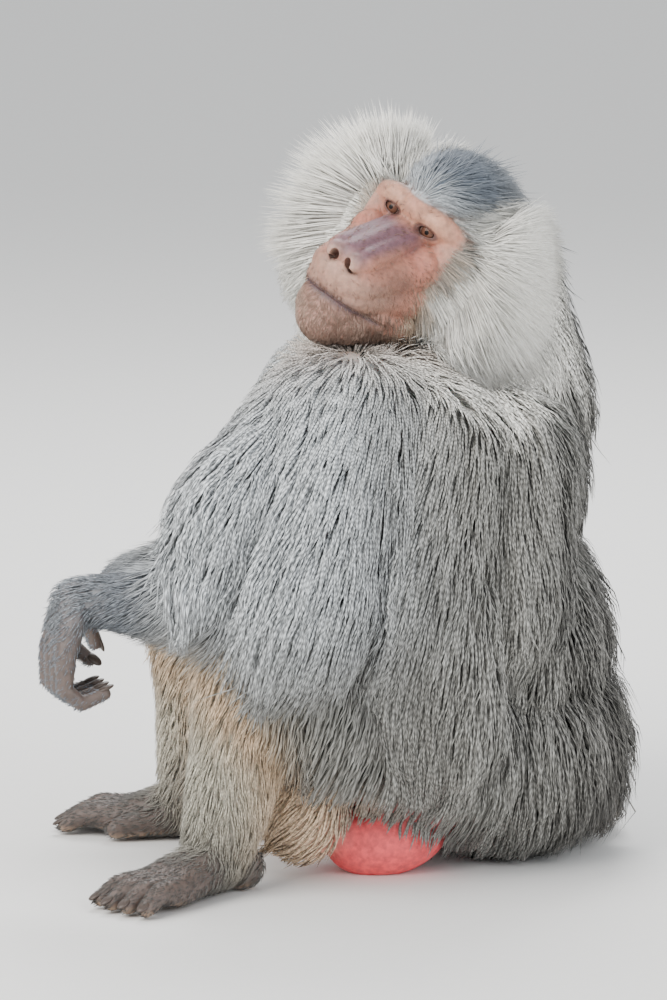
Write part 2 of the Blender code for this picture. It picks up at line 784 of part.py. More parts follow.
def make_foot(name, side, ankle, toe, shank):
    flat = Vector((toe.x - ankle.x, toe.y - ankle.y, 0)).normalized()
    across = Vector((-flat.y, flat.x, 0)) * side
    length = (toe - ankle).length
    heel = ankle - flat * 0.026 - Vector((0, 0, 0.022))
    body = bmesh.new()
    add_ball(body, heel, (0.022, 0.022, 0.022))
    add_limb(body, ankle, heel + flat * 0.03, 0.024, 0.021)
    for place in range(4):
        spread = (place - 1.0) / 1.5
        shorter = abs(spread - 0.2)
        points = [ankle - Vector((0, 0, 0.014))]
        for reach, apart, height in ((0.60, 0.022, 0.017), (0.84, 0.028, 0.0195), (1.0, 0.031, 0.0095)):
            point = ankle + flat * length * (reach - 0.05 * shorter * reach) + across * spread * apart
            point.z = height
            points.append(point)
        add_chain(body, points, (0.024, 0.014, TOE_RADIUS + 0.001, TOE_RADIUS * 0.9))
    root = ankle + flat * 0.030 - across * 0.020
    root.z = 0.017
    big_toe = ankle + flat * 0.066 - across * 0.040
    big_toe.z = 0.012
    add_chain(body, [ankle - Vector((0, 0, 0.018)), root, big_toe], (0.022, 0.0135, 0.0095))
    piece = object_from(name, body)
    fuse(piece, 0.0035, 3, 330)
    cut_clear(piece, shank)
    cut_floor(piece)
    return piece


def make_pad(name, side, rump, thigh):
    turn = Euler((math.radians(14), side * math.radians(16), side * math.radians(-8))).to_matrix()
    body = bmesh.new()
    add_ball(body, Vector((side * 0.076, -0.014, 0.036)), PAD_RADII, turn)
    piece = object_from(name, body)
    fuse(piece, 0.005, 4, 110)
    cut_clear(piece, rump, thigh)
    cut_floor(piece)
    return piece


def tail_points():
    # The tail leaves the rump and lies round its right side on the floor.
    return [
        Vector((0.0, 0.175, 0.050)), Vector((-0.050, 0.222, 0.026)), Vector((-0.130, 0.232, 0.018)),
        Vector((-0.205, 0.196, 0.017)), Vector((-0.262, 0.122, 0.017)), Vector((-0.290, 0.030, 0.018)),
        Vector((-0.286, -0.060, 0.016)),
    ]


def make_tail(rump):
    points = tail_points()
    pieces = []
    before = rump
    for name, first, last in (("tail_base", 0, 2), ("tail_middle", 2, 4), ("tail_tip", 4, 6)):
        body = bmesh.new()
        add_chain(body, points[first:last + 1], TAIL_RADII[first:last + 1])
        piece = object_from(name, body)
        fuse(piece, 0.004, 5, 110)
        cut_clear(piece, before)
        cut_floor(piece)
        pieces.append(piece)
        before = piece
    return pieces


for leftover in list(bpy.data.objects):
    bpy.data.objects.remove(leftover)

chest = make_chest()
rump = make_rump(chest)
head = make_head()
cut_clear(chest, head)
neck = make_neck(chest, head)
eyes = [make_eye("eye_left", 1), make_eye("eye_right", -1)]
ears = [make_ear("ear_left", 1, head), make_ear("ear_right", -1, head)]
cut_clear(neck, *ears)
thighs = [
    make_thigh("thigh_left", 1, KNEE_LEFT, rump, chest),
    make_thigh("thigh_right", -1, KNEE_RIGHT, rump, chest),
]
folds = ((CAPE, CAPE_RADII), (ARM_FOLD, ARM_FOLD_RADII))
upper_arms = [
    make_upper_arm("upper_arm_left", SHOULDER_LEFT, ELBOW_LEFT, folds, chest),
    make_upper_arm("upper_arm_right", SHOULDER_RIGHT, ELBOW_RIGHT, (), chest),
]
forearms = [
    make_forearm("forearm_left", ELBOW_LEFT, WRIST_LEFT, upper_arms[0]),
    make_forearm("forearm_right", ELBOW_RIGHT, WRIST_RIGHT, upper_arms[1]),
]
for arm in (*upper_arms, *forearms):
    cut_clear(arm, rump, *thighs, head)
for forearm, arm in zip(forearms, upper_arms):
    cut_clear(forearm, arm)
shanks = [
    make_shank("shank_left", KNEE_LEFT, ANKLE_LEFT, thighs[0]),
    make_shank("shank_right", KNEE_RIGHT, ANKLE_RIGHT, thighs[1]),
]
for shank, forearm, arm in zip(shanks, forearms, upper_arms):
    cut_clear(shank, forearm, arm)
hands = [
    make_hand(
        "hand_left", 1, WRIST_LEFT, ((0.014, -0.044), (0.016, -0.076), (0.000, -0.090), (-0.022, -0.082)),
        ((-0.030, 0.002, -0.030), (-0.033, -0.010, -0.048), (-0.028, -0.024, -0.060)), [forearms[0]],
    ),
    make_hand(
        "hand_right", -1, WRIST_RIGHT, ((0.042, -0.006), (0.068, -0.026), (0.072, -0.048), (0.066, -0.064)),
        ((-0.030, 0.026, -0.008), (-0.036, 0.042, -0.020), (-0.036, 0.052, -0.034)),
        [forearms[1], thighs[1], shanks[1]],
    ),
]
feet = [
    make_foot("foot_left", 1, ANKLE_LEFT, TOE_LEFT, shanks[0]),
    make_foot("foot_right", -1, ANKLE_RIGHT, TOE_RIGHT, shanks[1]),
]
pads = [make_pad("pad_left", 1, rump, thighs[0]), make_pad("pad_right", -1, rump, thighs[1])]
ruffs = [
    make_ruff("ruff_left", 1, (head, neck, ears[0], chest, upper_arms[0])),
    make_ruff("ruff_right", -1, (head, neck, ears[1], chest, upper_arms[1])),
]
cut_clear(ruffs[1], ruffs[0])
tail = make_tail(rump)

# The coat, the ruffs first and then the mantle from its lowest row up
grow_ruff(ruffs[0], 1, (neck, chest, upper_arms[0], head, ears[0]))
grow_ruff(ruffs[1], -1, (neck, chest, upper_arms[1], head, ears[1], ruffs[0]))
pieces = [head, *eyes, *ears, *ruffs, neck, chest, rump, *upper_arms, *forearms, *hands]
pieces += [*thighs, *shanks, *feet, *pads, *tail]
body_surface = surface_of(*[piece for piece in pieces if piece not in ruffs])
carriers = [chest, rump, neck, *upper_arms, *forearms, *thighs]
locks_of = {piece.name: [] for piece in carriers}
hang_crown(neck)
turns = (-30, 25, 80, 135)
lean = Vector((0, 0, -0.6))
hang_limb(forearms[0], ELBOW_LEFT, WRIST_LEFT, (0.50, 0.28), turns, lean, 0.105, 0.050, 0.022)
hang_limb(forearms[1], ELBOW_RIGHT, WRIST_RIGHT, (0.40,), turns, lean, 0.095, 0.050, 0.020)
lies = {  # spread of the lie, height of the tips over the flesh, length of the locks, where they may grow
    "thigh_left": (0.20, 0.022, 0.140, lambda root: root.y > -0.04),
    "thigh_right": (0.20, 0.022, 0.140, lambda root: root.y > -0.04),
    "rump": (0.40, 0.036, 0.170, lambda root: True),
    "chest": (0.50, 0.036, 0.200, lambda root: root.z < 0.43 or root.y > -0.02),
    "neck": (0.60, 0.050, 0.165, lambda root: root.y > 0.04),
    "upper_arm_left": (0.90, 0.034, 0.165, lambda root: root.z > 0.44),
    "upper_arm_right": (0.70, 0.034, 0.165, lambda root: root.z > 0.44),
}
hang_mantle(lies)
for arm, shoulder, elbow in zip(upper_arms, (SHOULDER_LEFT, SHOULDER_RIGHT), (ELBOW_LEFT, ELBOW_RIGHT)):
    lean = Vector((0, -0.45, -0.25)) if arm is upper_arms[0] else Vector((0, -0.2, -0.35))
    hang_limb(arm, shoulder, elbow, (0.92, 0.45, -0.05), (-75, -25, 25, 75), lean, 0.175, 0.074, 0.034)
for carrier in carriers:
    grow(carrier, locks_of[carrier.name])

coats = (
    (paint("mantle_fur", (0.36, 0.35, 0.34), 0.8), (chest, neck, *upper_arms)),
    (paint("back_fur", (0.16, 0.15, 0.14), 0.8), (rump, *tail)),
    (paint("ruff_fur", (0.75, 0.72, 0.66), 0.8), ruffs),
    (paint("leg_fur", (0.50, 0.44, 0.37), 0.8), (*thighs, *shanks)),
    (paint("arm_fur", (0.15, 0.16, 0.17), 0.8), forearms),
    (paint("face_skin", (0.45, 0.24, 0.19), 0.5), (head, *ears)),
    (paint("hand_skin", (0.10, 0.08, 0.08), 0.55), (*hands, *feet)),
    (paint("pad_skin", (0.80, 0.20, 0.20), 0.45), pads),
    (paint("eye", (0.10, 0.04, 0.015), 0.1), eyes),
)
points = [vertex.co for material, pieces in coats for piece in pieces for vertex in piece.data.vertices]
middle = Vector([(min(p[axis] for p in points) + max(p[axis] for p in points)) / 2 for axis in range(3)])
to_origin = Matrix.Translation((-middle.x, -middle.y, 0))
for material, pieces in coats:
    for piece in pieces:
        piece.data.transform(to_origin)
        piece.data.materials.clear()
        piece.data.materials.append(material)
        piece.data.shade_smooth()
        piece.data.set_sharp_from_angle(angle=math.radians(50))
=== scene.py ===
import math

import bmesh
import bpy
import numpy as np
from mathutils import Euler, Matrix, Vector
from mathutils.bvhtree import BVHTree


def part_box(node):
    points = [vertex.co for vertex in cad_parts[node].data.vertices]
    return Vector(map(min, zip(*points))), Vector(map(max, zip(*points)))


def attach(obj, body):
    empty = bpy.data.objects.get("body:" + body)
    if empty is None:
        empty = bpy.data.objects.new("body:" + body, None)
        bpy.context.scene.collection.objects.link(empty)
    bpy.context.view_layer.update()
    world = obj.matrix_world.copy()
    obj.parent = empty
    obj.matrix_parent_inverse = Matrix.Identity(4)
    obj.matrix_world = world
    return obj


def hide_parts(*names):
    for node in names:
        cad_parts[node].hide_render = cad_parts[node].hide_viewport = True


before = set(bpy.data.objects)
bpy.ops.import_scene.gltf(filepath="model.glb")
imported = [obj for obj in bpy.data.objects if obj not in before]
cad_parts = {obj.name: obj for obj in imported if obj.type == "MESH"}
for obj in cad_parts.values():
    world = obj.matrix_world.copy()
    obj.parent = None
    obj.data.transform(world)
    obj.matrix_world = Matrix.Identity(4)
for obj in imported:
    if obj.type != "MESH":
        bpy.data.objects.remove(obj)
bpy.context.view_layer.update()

# A seated male hamadryas baboon. It faces -Y and its left side is +X. It is set out from a point
# on the floor under its seat, as the solids are, and moved to the solids' place at the end.

head = {
    "middle": (0.030, 0.050, 0.598),
    "turn": 52.0,
    "lift": 10.0,
    "tilt": 29.5,
    "eyeRadius": 0.0115,
    "eyeForward": 0.061,
    "eyeUp": -0.004,
    "eyeApart": 0.041,
    "voxel": 0.0013,
    "smoothing": 5,
}
headFrame = (
    Matrix.Translation(head["middle"])
    @ Euler((0, 0, math.radians(head["turn"]))).to_matrix().to_4x4()
    @ Euler((-math.radians(head["lift"]), 0, 0)).to_matrix().to_4x4()
    @ Euler((0, math.radians(head["tilt"]), 0)).to_matrix().to_4x4()
)
headAxes = headFrame.to_3x3()


def headPoint(forward, up, left=0.0):
    return headFrame @ Vector((left, -forward, up))


def headDirection(forward, up, left=0.0):
    return headAxes @ Vector((left, -forward, up))


def eyeCentre(side):
    return headPoint(head["eyeForward"], head["eyeUp"], side * head["eyeApart"] / 2)


lowest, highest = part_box("eye_left")
toFrame = Matrix.Translation((lowest + highest) / 2 - eyeCentre(1))
print("placed on the frame, moved by", [round(v, 4) for v in toFrame.translation])


# Helpers for objects, meshes and nodes

def addObject(name, data):
    found = bpy.data.objects.new(name, data)
    bpy.context.scene.collection.objects.link(found)
    return found


def removePiece(piece):
    mesh = piece.data
    bpy.data.objects.remove(piece)
    bpy.data.meshes.remove(mesh)


def pieceFrom(name, body):
    mesh = bpy.data.meshes.new(name)
    body.to_mesh(mesh)
    body.free()
    return addObject(name, mesh)


def applyModifiers(piece):
    depsgraph = bpy.context.evaluated_depsgraph_get()
    oldMesh = piece.data
    piece.data = bpy.data.meshes.new_from_object(piece.evaluated_get(depsgraph))
    piece.modifiers.clear()
    bpy.data.meshes.remove(oldMesh)


def addModifier(piece, kind, **settings):
    modifier = piece.modifiers.new(kind.title(), kind)
    for name, value in settings.items():
        setattr(modifier, name, value)
    return modifier


def combine(piece, other, operation):
    addModifier(piece, "BOOLEAN", operation=operation, solver="MANIFOLD", object=other)
    applyModifiers(piece)
    removePiece(other)


def triangles(piece):
    return sum(len(face.vertices) - 2 for face in piece.data.polygons)


def thinOut(piece, wanted):
    addModifier(piece, "DECIMATE", ratio=min(1.0, wanted / triangles(piece)))
    applyModifiers(piece)


def addBall(body, centre, radii, axes=None, detail=4):
    place = Matrix.Translation(centre)
    if axes is not None:
        place = place @ axes.to_4x4()
    place = place @ Matrix.Diagonal((*radii, 1.0))
    bmesh.ops.create_icosphere(body, subdivisions=detail, radius=1.0, matrix=place)


def addLimb(body, start, end, startRadius, endRadius):
    along = end - start
    place = Matrix.Translation((start + end) / 2) @ along.to_track_quat("Z", "Y").to_matrix().to_4x4()
    bmesh.ops.create_cone(
        body, cap_ends=True, segments=32, radius1=startRadius, radius2=endRadius, depth=along.length,
        matrix=place,
    )
    addBall(body, start, (startRadius,) * 3, detail=3)
    addBall(body, end, (endRadius,) * 3, detail=3)


def places(mesh):
    found = np.empty(len(mesh.vertices) * 3)
    mesh.vertices.foreach_get("co", found)
    return found.reshape(-1, 3)


def setPlaces(mesh, found):
    mesh.vertices.foreach_set("co", found.astype(np.float32).ravel())
    mesh.update()


def normals(mesh):
    found = np.empty(len(mesh.vertices) * 3, np.float32)
    mesh.vertex_normals.foreach_get("vector", found)
    return found.reshape(-1, 3).astype(float)


def store(mesh, name, kind, values, part="vector"):
    attribute = mesh.attributes.get(name) or mesh.attributes.new(name, kind, "POINT")
    attribute.data.foreach_set(part, np.ascontiguousarray(values, np.float32).ravel())


def storeTone(mesh, name, tones):
    store(mesh, name, "FLOAT_COLOR", np.hstack([tones, np.ones((len(tones), 1))]), "color")


def setInputs(tree, node, inputs):
    # Links an input to a socket, or sets it to a value.
    for slot, value in inputs.items():
        if isinstance(value, bpy.types.NodeSocket):
            tree.links.new(value, node.inputs[slot])
        else:
            node.inputs[slot].default_value = value


def addNode(tree, kind, inputs=None, **settings):
    node = tree.nodes.new(kind)
    for name, value in settings.items():
        setattr(node, name, value)
    setInputs(tree, node, inputs or {})
    return node.outputs


def addNumber(tree, operation, *values):
    return addNode(tree, "ShaderNodeMath", dict(enumerate(values)), operation=operation)[0]


def addScaled(tree, value, factor):
    return addNode(tree, "ShaderNodeVectorMath", {0: value, "Scale": factor}, operation="SCALE")[0]


def addVector(tree, *parts):
    return addNode(tree, "ShaderNodeCombineXYZ", dict(enumerate(parts)))[0]


def addParts(tree, value):
    return addNode(tree, "ShaderNodeSeparateXYZ", {0: value})


def addStored(tree, name, part="Vector"):
    return addNode(tree, "ShaderNodeAttribute", attribute_name=name)[part]


def addMaterial(name):
    material = bpy.data.materials.new(name)
    material.use_nodes = True
    tree = material.node_tree
    return material, tree, tree.nodes["Principled BSDF"]


def addGrain(tree, scale, colour, darkest, lightest):
    # Fine noise between two shades of a colour.
    place = addNode(tree, "ShaderNodeTexCoord")["Object"]
    ramp = tree.nodes.new("ShaderNodeValToRGB")
    for element, share in zip(ramp.color_ramp.elements, (darkest, lightest)):
        element.color = (*[c * share for c in colour], 1)
    noise = addNode(tree, "ShaderNodeTexNoise", {"Vector": place, "Scale": scale})
    setInputs(tree, ramp, {"Fac": noise["Fac"]})
    return ramp.outputs["Color"]


def addGroup(name, kind, inputs, outputs):
    # An empty node group with named inputs and outputs.
    tree = bpy.data.node_groups.new(name, kind)
    for label, socketKind, value in inputs:
        socket = tree.interface.new_socket(name=label, in_out="INPUT", socket_type="NodeSocket" + socketKind)
        if value is not None:
            socket.default_value = value
    for label, socketKind in outputs:
        tree.interface.new_socket(name=label, in_out="OUTPUT", socket_type="NodeSocket" + socketKind)
    return tree, tree.nodes.new("NodeGroupInput").outputs, tree.nodes.new("NodeGroupOutput")


# Camera, floor and light

view = {
    "azimuth": 78.0, "elevation": 10.0, "distance": 8.0, "metresHigh": 0.93,
    "middle": (-0.0655, -0.0342, 0.3231),
}
filmHeight = 36.0


def addCamera():
    turn, rise = math.radians(view["azimuth"]), math.radians(view["elevation"])
    away = Vector((math.sin(turn) * math.cos(rise), -math.cos(turn) * math.cos(rise), math.sin(rise)))
    data = bpy.data.cameras.new("camera")
    data.sensor_fit = "VERTICAL"
    data.sensor_height = filmHeight
    data.lens = filmHeight * view["distance"] / view["metresHigh"]
    camera = addObject("camera", data)
    camera.location = toFrame @ Vector(view["middle"]) + away * view["distance"]
    camera.rotation_euler = away.to_track_quat("Z", "Y").to_euler()
    bpy.context.scene.camera = camera


lamps = {
    "key": {"at": (1.5, -2.4, 2.6), "size": 2.8, "power": 170, "colour": (1.0, 0.97, 0.93)},
    "fill": {"at": (2.6, 1.6, 1.5), "size": 2.4, "power": 50, "colour": (0.95, 0.97, 1.0)},
    "rim": {"at": (-1.8, 0.6, 2.4), "size": 1.6, "power": 75, "colour": (1.0, 1.0, 1.0)},
}
lampAim = (0, 0, 0.35)
sky = {"colour": (0.86, 0.88, 0.90, 1.0), "strength": 1.0}
floorLook = {"size": 60.0, "colour": (0.86, 0.855, 0.84), "roughness": 0.85, "grain": 60.0}


def addLamps():
    for name, lamp in lamps.items():
        data = bpy.data.lights.new(name, "AREA")
        data.size = lamp["size"]
        data.energy = lamp["power"]
        data.color = lamp["colour"]
        light = addObject(name, data)
        light.location = lamp["at"]
        light.rotation_euler = (Vector(lamp["at"]) - Vector(lampAim)).to_track_quat("Z", "Y").to_euler()
    world = bpy.data.worlds.new("studio")
    world.use_nodes = True
    tree = world.node_tree
    setInputs(tree, tree.nodes["Background"], {"Color": sky["colour"], "Strength": sky["strength"]})
    bpy.context.scene.world = world


def addFloor():
    half = floorLook["size"] / 2
    mesh = bpy.data.meshes.new("floor")
    corners = [(-half, -half, 0), (half, -half, 0), (half, half, 0), (-half, half, 0)]
    mesh.from_pydata(corners, [], [(0, 1, 2, 3)])
    material, tree, shader = addMaterial("floorPaint")
    colour = addGrain(tree, floorLook["grain"], floorLook["colour"], 0.97, 1.0)
    setInputs(tree, shader, {"Base Color": colour, "Roughness": floorLook["roughness"]})
    mesh.materials.append(material)
    addObject("floor", mesh)


addCamera()
addLamps()
addFloor()
print("camera, light and floor are set")


# Forms of the flesh: each zone is balls and limbs. Coat depth is how far the skin lies inside them.

joints = {
    "shoulder": ((0.122, -0.062, 0.415), (-0.116, 0.000, 0.398)),
    "elbow": ((0.188, -0.110, 0.278), (-0.200, 0.035, 0.262)),
    "wrist": ((0.108, -0.312, 0.270), (-0.175, -0.175, 0.243)),
    "hip": ((0.072, 0.030, 0.105), (-0.072, 0.030, 0.105)),
    "knee": ((0.135, -0.160, 0.200), (-0.185, -0.138, 0.172)),
    "ankle": ((0.137, -0.185, 0.044), (-0.108, -0.158, 0.044)),
    "toe": ((0.196, -0.292, 0.014), (-0.160, -0.268, 0.014)),
}
joints = {name: [Vector(place) for place in pair] for name, pair in joints.items()}
folds = (  # the mantle's hair in front of the near arm, behind it and over the flanks
    ("upperArmLeft", ((0.108, -0.098, 0.412), (0.150, -0.160, 0.338)), (0.055, 0.056)),
    ("upperArmLeft", ((0.125, 0.015, 0.395), (0.160, -0.022, 0.278)), (0.068, 0.062)),
    ("belly", ((0.148, 0.000, 0.250), (0.128, 0.020, 0.150)), (0.060, 0.056)),
    ("belly", ((-0.146, 0.045, 0.250), (-0.124, 0.035, 0.150)), (0.060, 0.056)),
    ("chest", ((0.100, 0.085, 0.385), (0.122, 0.072, 0.255)), (0.060, 0.056)),
    ("chest", ((-0.100, 0.085, 0.385), (-0.122, 0.072, 0.255)), (0.060, 0.056)),
    ("nape", ((0.004, 0.104, 0.552), (0.004, 0.130, 0.415)), (0.042, 0.052)),
)
tailPoints = [Vector(place) for place in (
    (0.0, 0.175, 0.050), (-0.050, 0.222, 0.026), (-0.130, 0.232, 0.018), (-0.205, 0.196, 0.017),
    (-0.262, 0.122, 0.017), (-0.290, 0.030, 0.018), (-0.286, -0.060, 0.016),
)]
seatPad = {"at": (0.076, -0.014, 0.036), "radii": (0.042, 0.060, 0.040), "turn": (14, 16, -8)}
sides = (("Left", 1), ("Right", -1))
coatDepth = {
    "chest": 0.002, "nape": 0.003, "shoulders": 0.003, "belly": 0.002, "rump": 0.002, "neck": 0.006,
    "hood": 0.013, "upperArm": 0.002, "forearm": 0.004, "thigh": 0.005, "shank": 0.006, "tail": 0.004,
    "ruff": 0.010, "pad": 0.0005, "hand": 0.0004, "foot": 0.0004, "head": 0.0004,
}
forms = []  # zone, kind, places, radii, axes


def plainZone(zone):
    return zone.removesuffix("Left").removesuffix("Right")


def ball(zone, centre, radii, axes=None):
    depth = coatDepth[plainZone(zone)]
    forms.append((zone, "ball", (Vector(centre),), tuple(radius - depth for radius in radii), axes))


def limb(zone, points, radii):
    depth = coatDepth[plainZone(zone)]
    for *ends, first, second in zip(points, points[1:], radii, radii[1:]):
        forms.append((zone, "limb", ends, (first - depth, second - depth), None))


def handPoints(side, wrist, bends, thumb):
    # Each finger runs through its knuckle and joints to its tip.
    across = Vector((side, 0.12, 0.0)).normalized()
    fingers = []
    for place in range(4):
        spread = (place - 1.5) / 1.5
        points = [wrist + across * spread * 0.012]
        for (forward, up), width in zip(bends, (0.92, 1.0, 0.94, 0.86)):
            points.append(wrist + across * spread * 0.026 * width + Vector((0, -forward, up)))
        fingers.append((points, (0.013, 0.0105, 0.0078, 0.0072, 0.0063)))
    roots = [wrist - across * 0.012]
    roots += [wrist + across * inward + Vector((0, -forward, up)) for inward, forward, up in thumb]
    fingers.append((roots, (0.012, 0.0095, 0.0078, 0.0062)))
    return fingers


def footPoints(side, ankle, toe):
    flat = Vector((toe.x - ankle.x, toe.y - ankle.y, 0)).normalized()
    across = Vector((-flat.y, flat.x, 0)) * side
    length = (toe - ankle).length
    toes = []
    for place in range(4):
        spread = (place - 1.0) / 1.5
        shorter = abs(spread - 0.2)
        points = [ankle - Vector((0, 0, 0.014))]
        for reach, apart, height in ((0.60, 0.022, 0.017), (0.84, 0.028, 0.0195), (1.0, 0.031, 0.0095)):
            point = ankle + flat * length * (reach - 0.05 * shorter * reach) + across * spread * apart
            point.z = height
            points.append(point)
        toes.append((points, (0.024, 0.014, 0.0098, 0.0079)))
    root = ankle + flat * 0.030 - across * 0.020
    root.z = 0.017
    bigToe = ankle + flat * 0.066 - across * 0.040
    bigToe.z = 0.012
    toes.append(([ankle - Vector((0, 0, 0.018)), root, bigToe], (0.022, 0.0135, 0.0095)))
    heel = ankle - flat * 0.026 - Vector((0, 0, 0.022))
    return toes, heel, heel + flat * 0.03


hands = {
    "bends": (
        ((0.014, -0.044), (0.016, -0.076), (0.000, -0.090), (-0.022, -0.082)),
        ((0.042, -0.006), (0.068, -0.026), (0.072, -0.048), (0.066, -0.064)),
    ),
    "thumbs": (
        ((-0.030, 0.002, -0.030), (-0.033, -0.010, -0.048), (-0.028, -0.024, -0.060)),
        ((-0.030, 0.026, -0.008), (-0.036, 0.042, -0.020), (-0.036, 0.052, -0.034)),
    ),
}
digits = []  # chains that carry a nail

ball("chest", (0, 0.045, 0.350), (0.148, 0.126, 0.130))
ball("nape", (0, 0.062, 0.440), (0.112, 0.094, 0.070))
ball("belly", (0, 0.072, 0.215), (0.135, 0.118, 0.120))
ball("rump", (0, 0.092, 0.105), (0.125, 0.112, 0.098))
limb("neck", [Vector((0, 0.072, 0.450)), headPoint(-0.030, -0.020)], (0.094, 0.066))
ball("hood", headPoint(-0.016, 0.008), (0.049, 0.068, 0.046), headAxes)
ball("neck", headPoint(0.028, -0.122), (0.048, 0.036, 0.036), headAxes)  # throat
limb("tail", tailPoints, (0.024, 0.020, 0.017, 0.016, 0.016, 0.017, 0.015))
for zone, ends, radii in folds:
    limb(zone, [Vector(end) for end in ends], radii)
for place, (label, side) in enumerate(sides):
    shoulder, elbow, wrist, hip, knee, ankle, toe = [joints[name][place] for name in joints]
    ball("shoulders", (side * 0.085, -0.010, 0.415), (0.078, 0.086, 0.070))
    limb("upperArm" + label, [shoulder, elbow], (0.080, 0.062))
    limb("forearm" + label, [elbow, elbow.lerp(wrist, 0.4), wrist], (0.038, 0.036, 0.023))
    limb("thigh" + label, [hip, knee], (0.078, 0.046))
    ball("thigh" + label, (side * 0.080, -0.090, 0.062), (0.040, 0.044, 0.052))
    calf = knee.lerp(ankle, 0.35) + Vector((0, 0.008, 0))
    limb("shank" + label, [knee, calf, ankle], (0.046, 0.047, 0.036))
    (x, y, z), (pitch, lean, swing) = seatPad["at"], [math.radians(angle) for angle in seatPad["turn"]]
    turn = Euler((pitch, side * lean, side * swing)).to_matrix()
    ball("pad" + label, (side * x, y, z), seatPad["radii"], turn)
    ball("ruff" + label, headPoint(0.000, -0.030, side * 0.066), (0.040, 0.044, 0.074), headAxes)
    ball("ruff" + label, headPoint(0.004, -0.078, side * 0.064), (0.040, 0.042, 0.050), headAxes)
bodyFormCount = len(forms)

for place, (label, side) in enumerate(sides):
    wrist, ankle, toe = joints["wrist"][place], joints["ankle"][place], joints["toe"][place]
    ball("hand" + label, wrist, (0.021, 0.018, 0.018))
    for points, radii in handPoints(side, wrist, hands["bends"][place], hands["thumbs"][place]):
        limb("hand" + label, points, radii)
        digits.append((points, radii[-1]))
    toes, heel, arch = footPoints(side, ankle, toe)
    ball("foot" + label, heel, (0.022, 0.022, 0.022))
    limb("foot" + label, [ankle, arch], (0.024, 0.021))
    for points, radii in toes:
        limb("foot" + label, points, radii)
        digits.append((points, radii[-1]))
endFormCount = len(forms)
middleForms = (  # both ends as forward, up and left, and their radii
    ((0.066, 0.007, -0.026), (0.066, 0.007, 0.026), 0.0112, 0.0112),  # brow
    ((0.040, 0.014, 0.0), (0.065, 0.008, 0.0), 0.033, 0.018),
    ((0.070, -0.015, 0.0), (0.146, -0.045, 0.0), 0.0140, 0.0130),  # bridge
    ((0.060, -0.055, 0.0), (0.134, -0.068, 0.0), 0.034, 0.025),
    ((0.045, -0.098, 0.0), (0.120, -0.108, 0.0), 0.030, 0.025),
    ((0.1365, -0.070, -0.011), (0.1365, -0.070, 0.011), 0.0190, 0.0190),  # upper lip
    ((0.1345, -0.097, -0.009), (0.1345, -0.097, 0.009), 0.0190, 0.0190),  # lower lip
)
sideForms = (
    ((0.065, 0.006, 0.026), (0.050, 0.000, 0.040), 0.0112, 0.0125),
    ((0.050, 0.000, 0.040), (0.054, -0.032, 0.036), 0.0125, 0.015),
    ((0.068, -0.034, 0.030), (0.028, -0.036, 0.040), 0.018, 0.018),
    ((0.068, -0.018, 0.010), (0.143, -0.046, 0.0125), 0.0130, 0.0128),
    ((0.060, -0.042, 0.025), (0.134, -0.066, 0.016), 0.023, 0.0195),
    ((0.060, -0.068, 0.031), (0.131, -0.078, 0.0155), 0.022, 0.019),
    ((0.020, -0.084, 0.036), (0.122, -0.106, 0.012), 0.023, 0.021),
    ((0.018, -0.030, 0.040), (0.016, -0.084, 0.037), 0.020, 0.022),
    ((0.038, -0.030, 0.038), (0.036, -0.080, 0.034), 0.020, 0.020),
    ((0.040, -0.092, 0.032), (0.096, -0.093, 0.024), 0.022, 0.020),
)


def faceLimb(side, start, end, startRadius, endRadius):
    ends = [headPoint(forward, up, side * left) for forward, up, left in (start, end)]
    limb("head", ends, (startRadius, endRadius))


ball("head", headPoint(-0.004, 0.004), (0.050, 0.066, 0.050), headAxes)
ball("head", headPoint(0.128, -0.110), (0.026, 0.023, 0.025), headAxes)  # chin
for form in middleForms:
    faceLimb(1, *form)
for _, side in sides:
    for form in sideForms:
        faceLimb(side, *form)
    ball("head", eyeCentre(side), (head["eyeRadius"] + 0.0021,) * 3)
    wing = headPoint(0.1530, -0.0485, side * 0.0105)
    ball("head", wing, (0.0105, 0.0108, 0.0100), headAxes)


# The skin

skinMesh = {
    "voxel": 0.0040, "smoothing": 6, "bodyTriangles": 36000,
    "endVoxel": 0.0016, "endSmoothing": 3, "triangles": 190000,
}
mouth = {"middle": 0.094, "reach": 0.12, "width": 0.075, "height": -0.0935, "rise": 0.0065, "steps": 40}
groove = {"radius": 0.0012, "voxel": 0.0006}


def meltForms(name, chosen, voxel, smoothing):
    body = bmesh.new()
    for _, kind, ends, radii, axes in chosen:
        if kind == "ball":
            addBall(body, ends[0], radii, axes)
        else:
            addLimb(body, *ends, *radii)
    piece = pieceFrom(name, body)
    addModifier(piece, "REMESH", mode="VOXEL", voxel_size=voxel)
    addModifier(piece, "SMOOTH", factor=0.5, iterations=smoothing)
    applyModifiers(piece)
    return piece


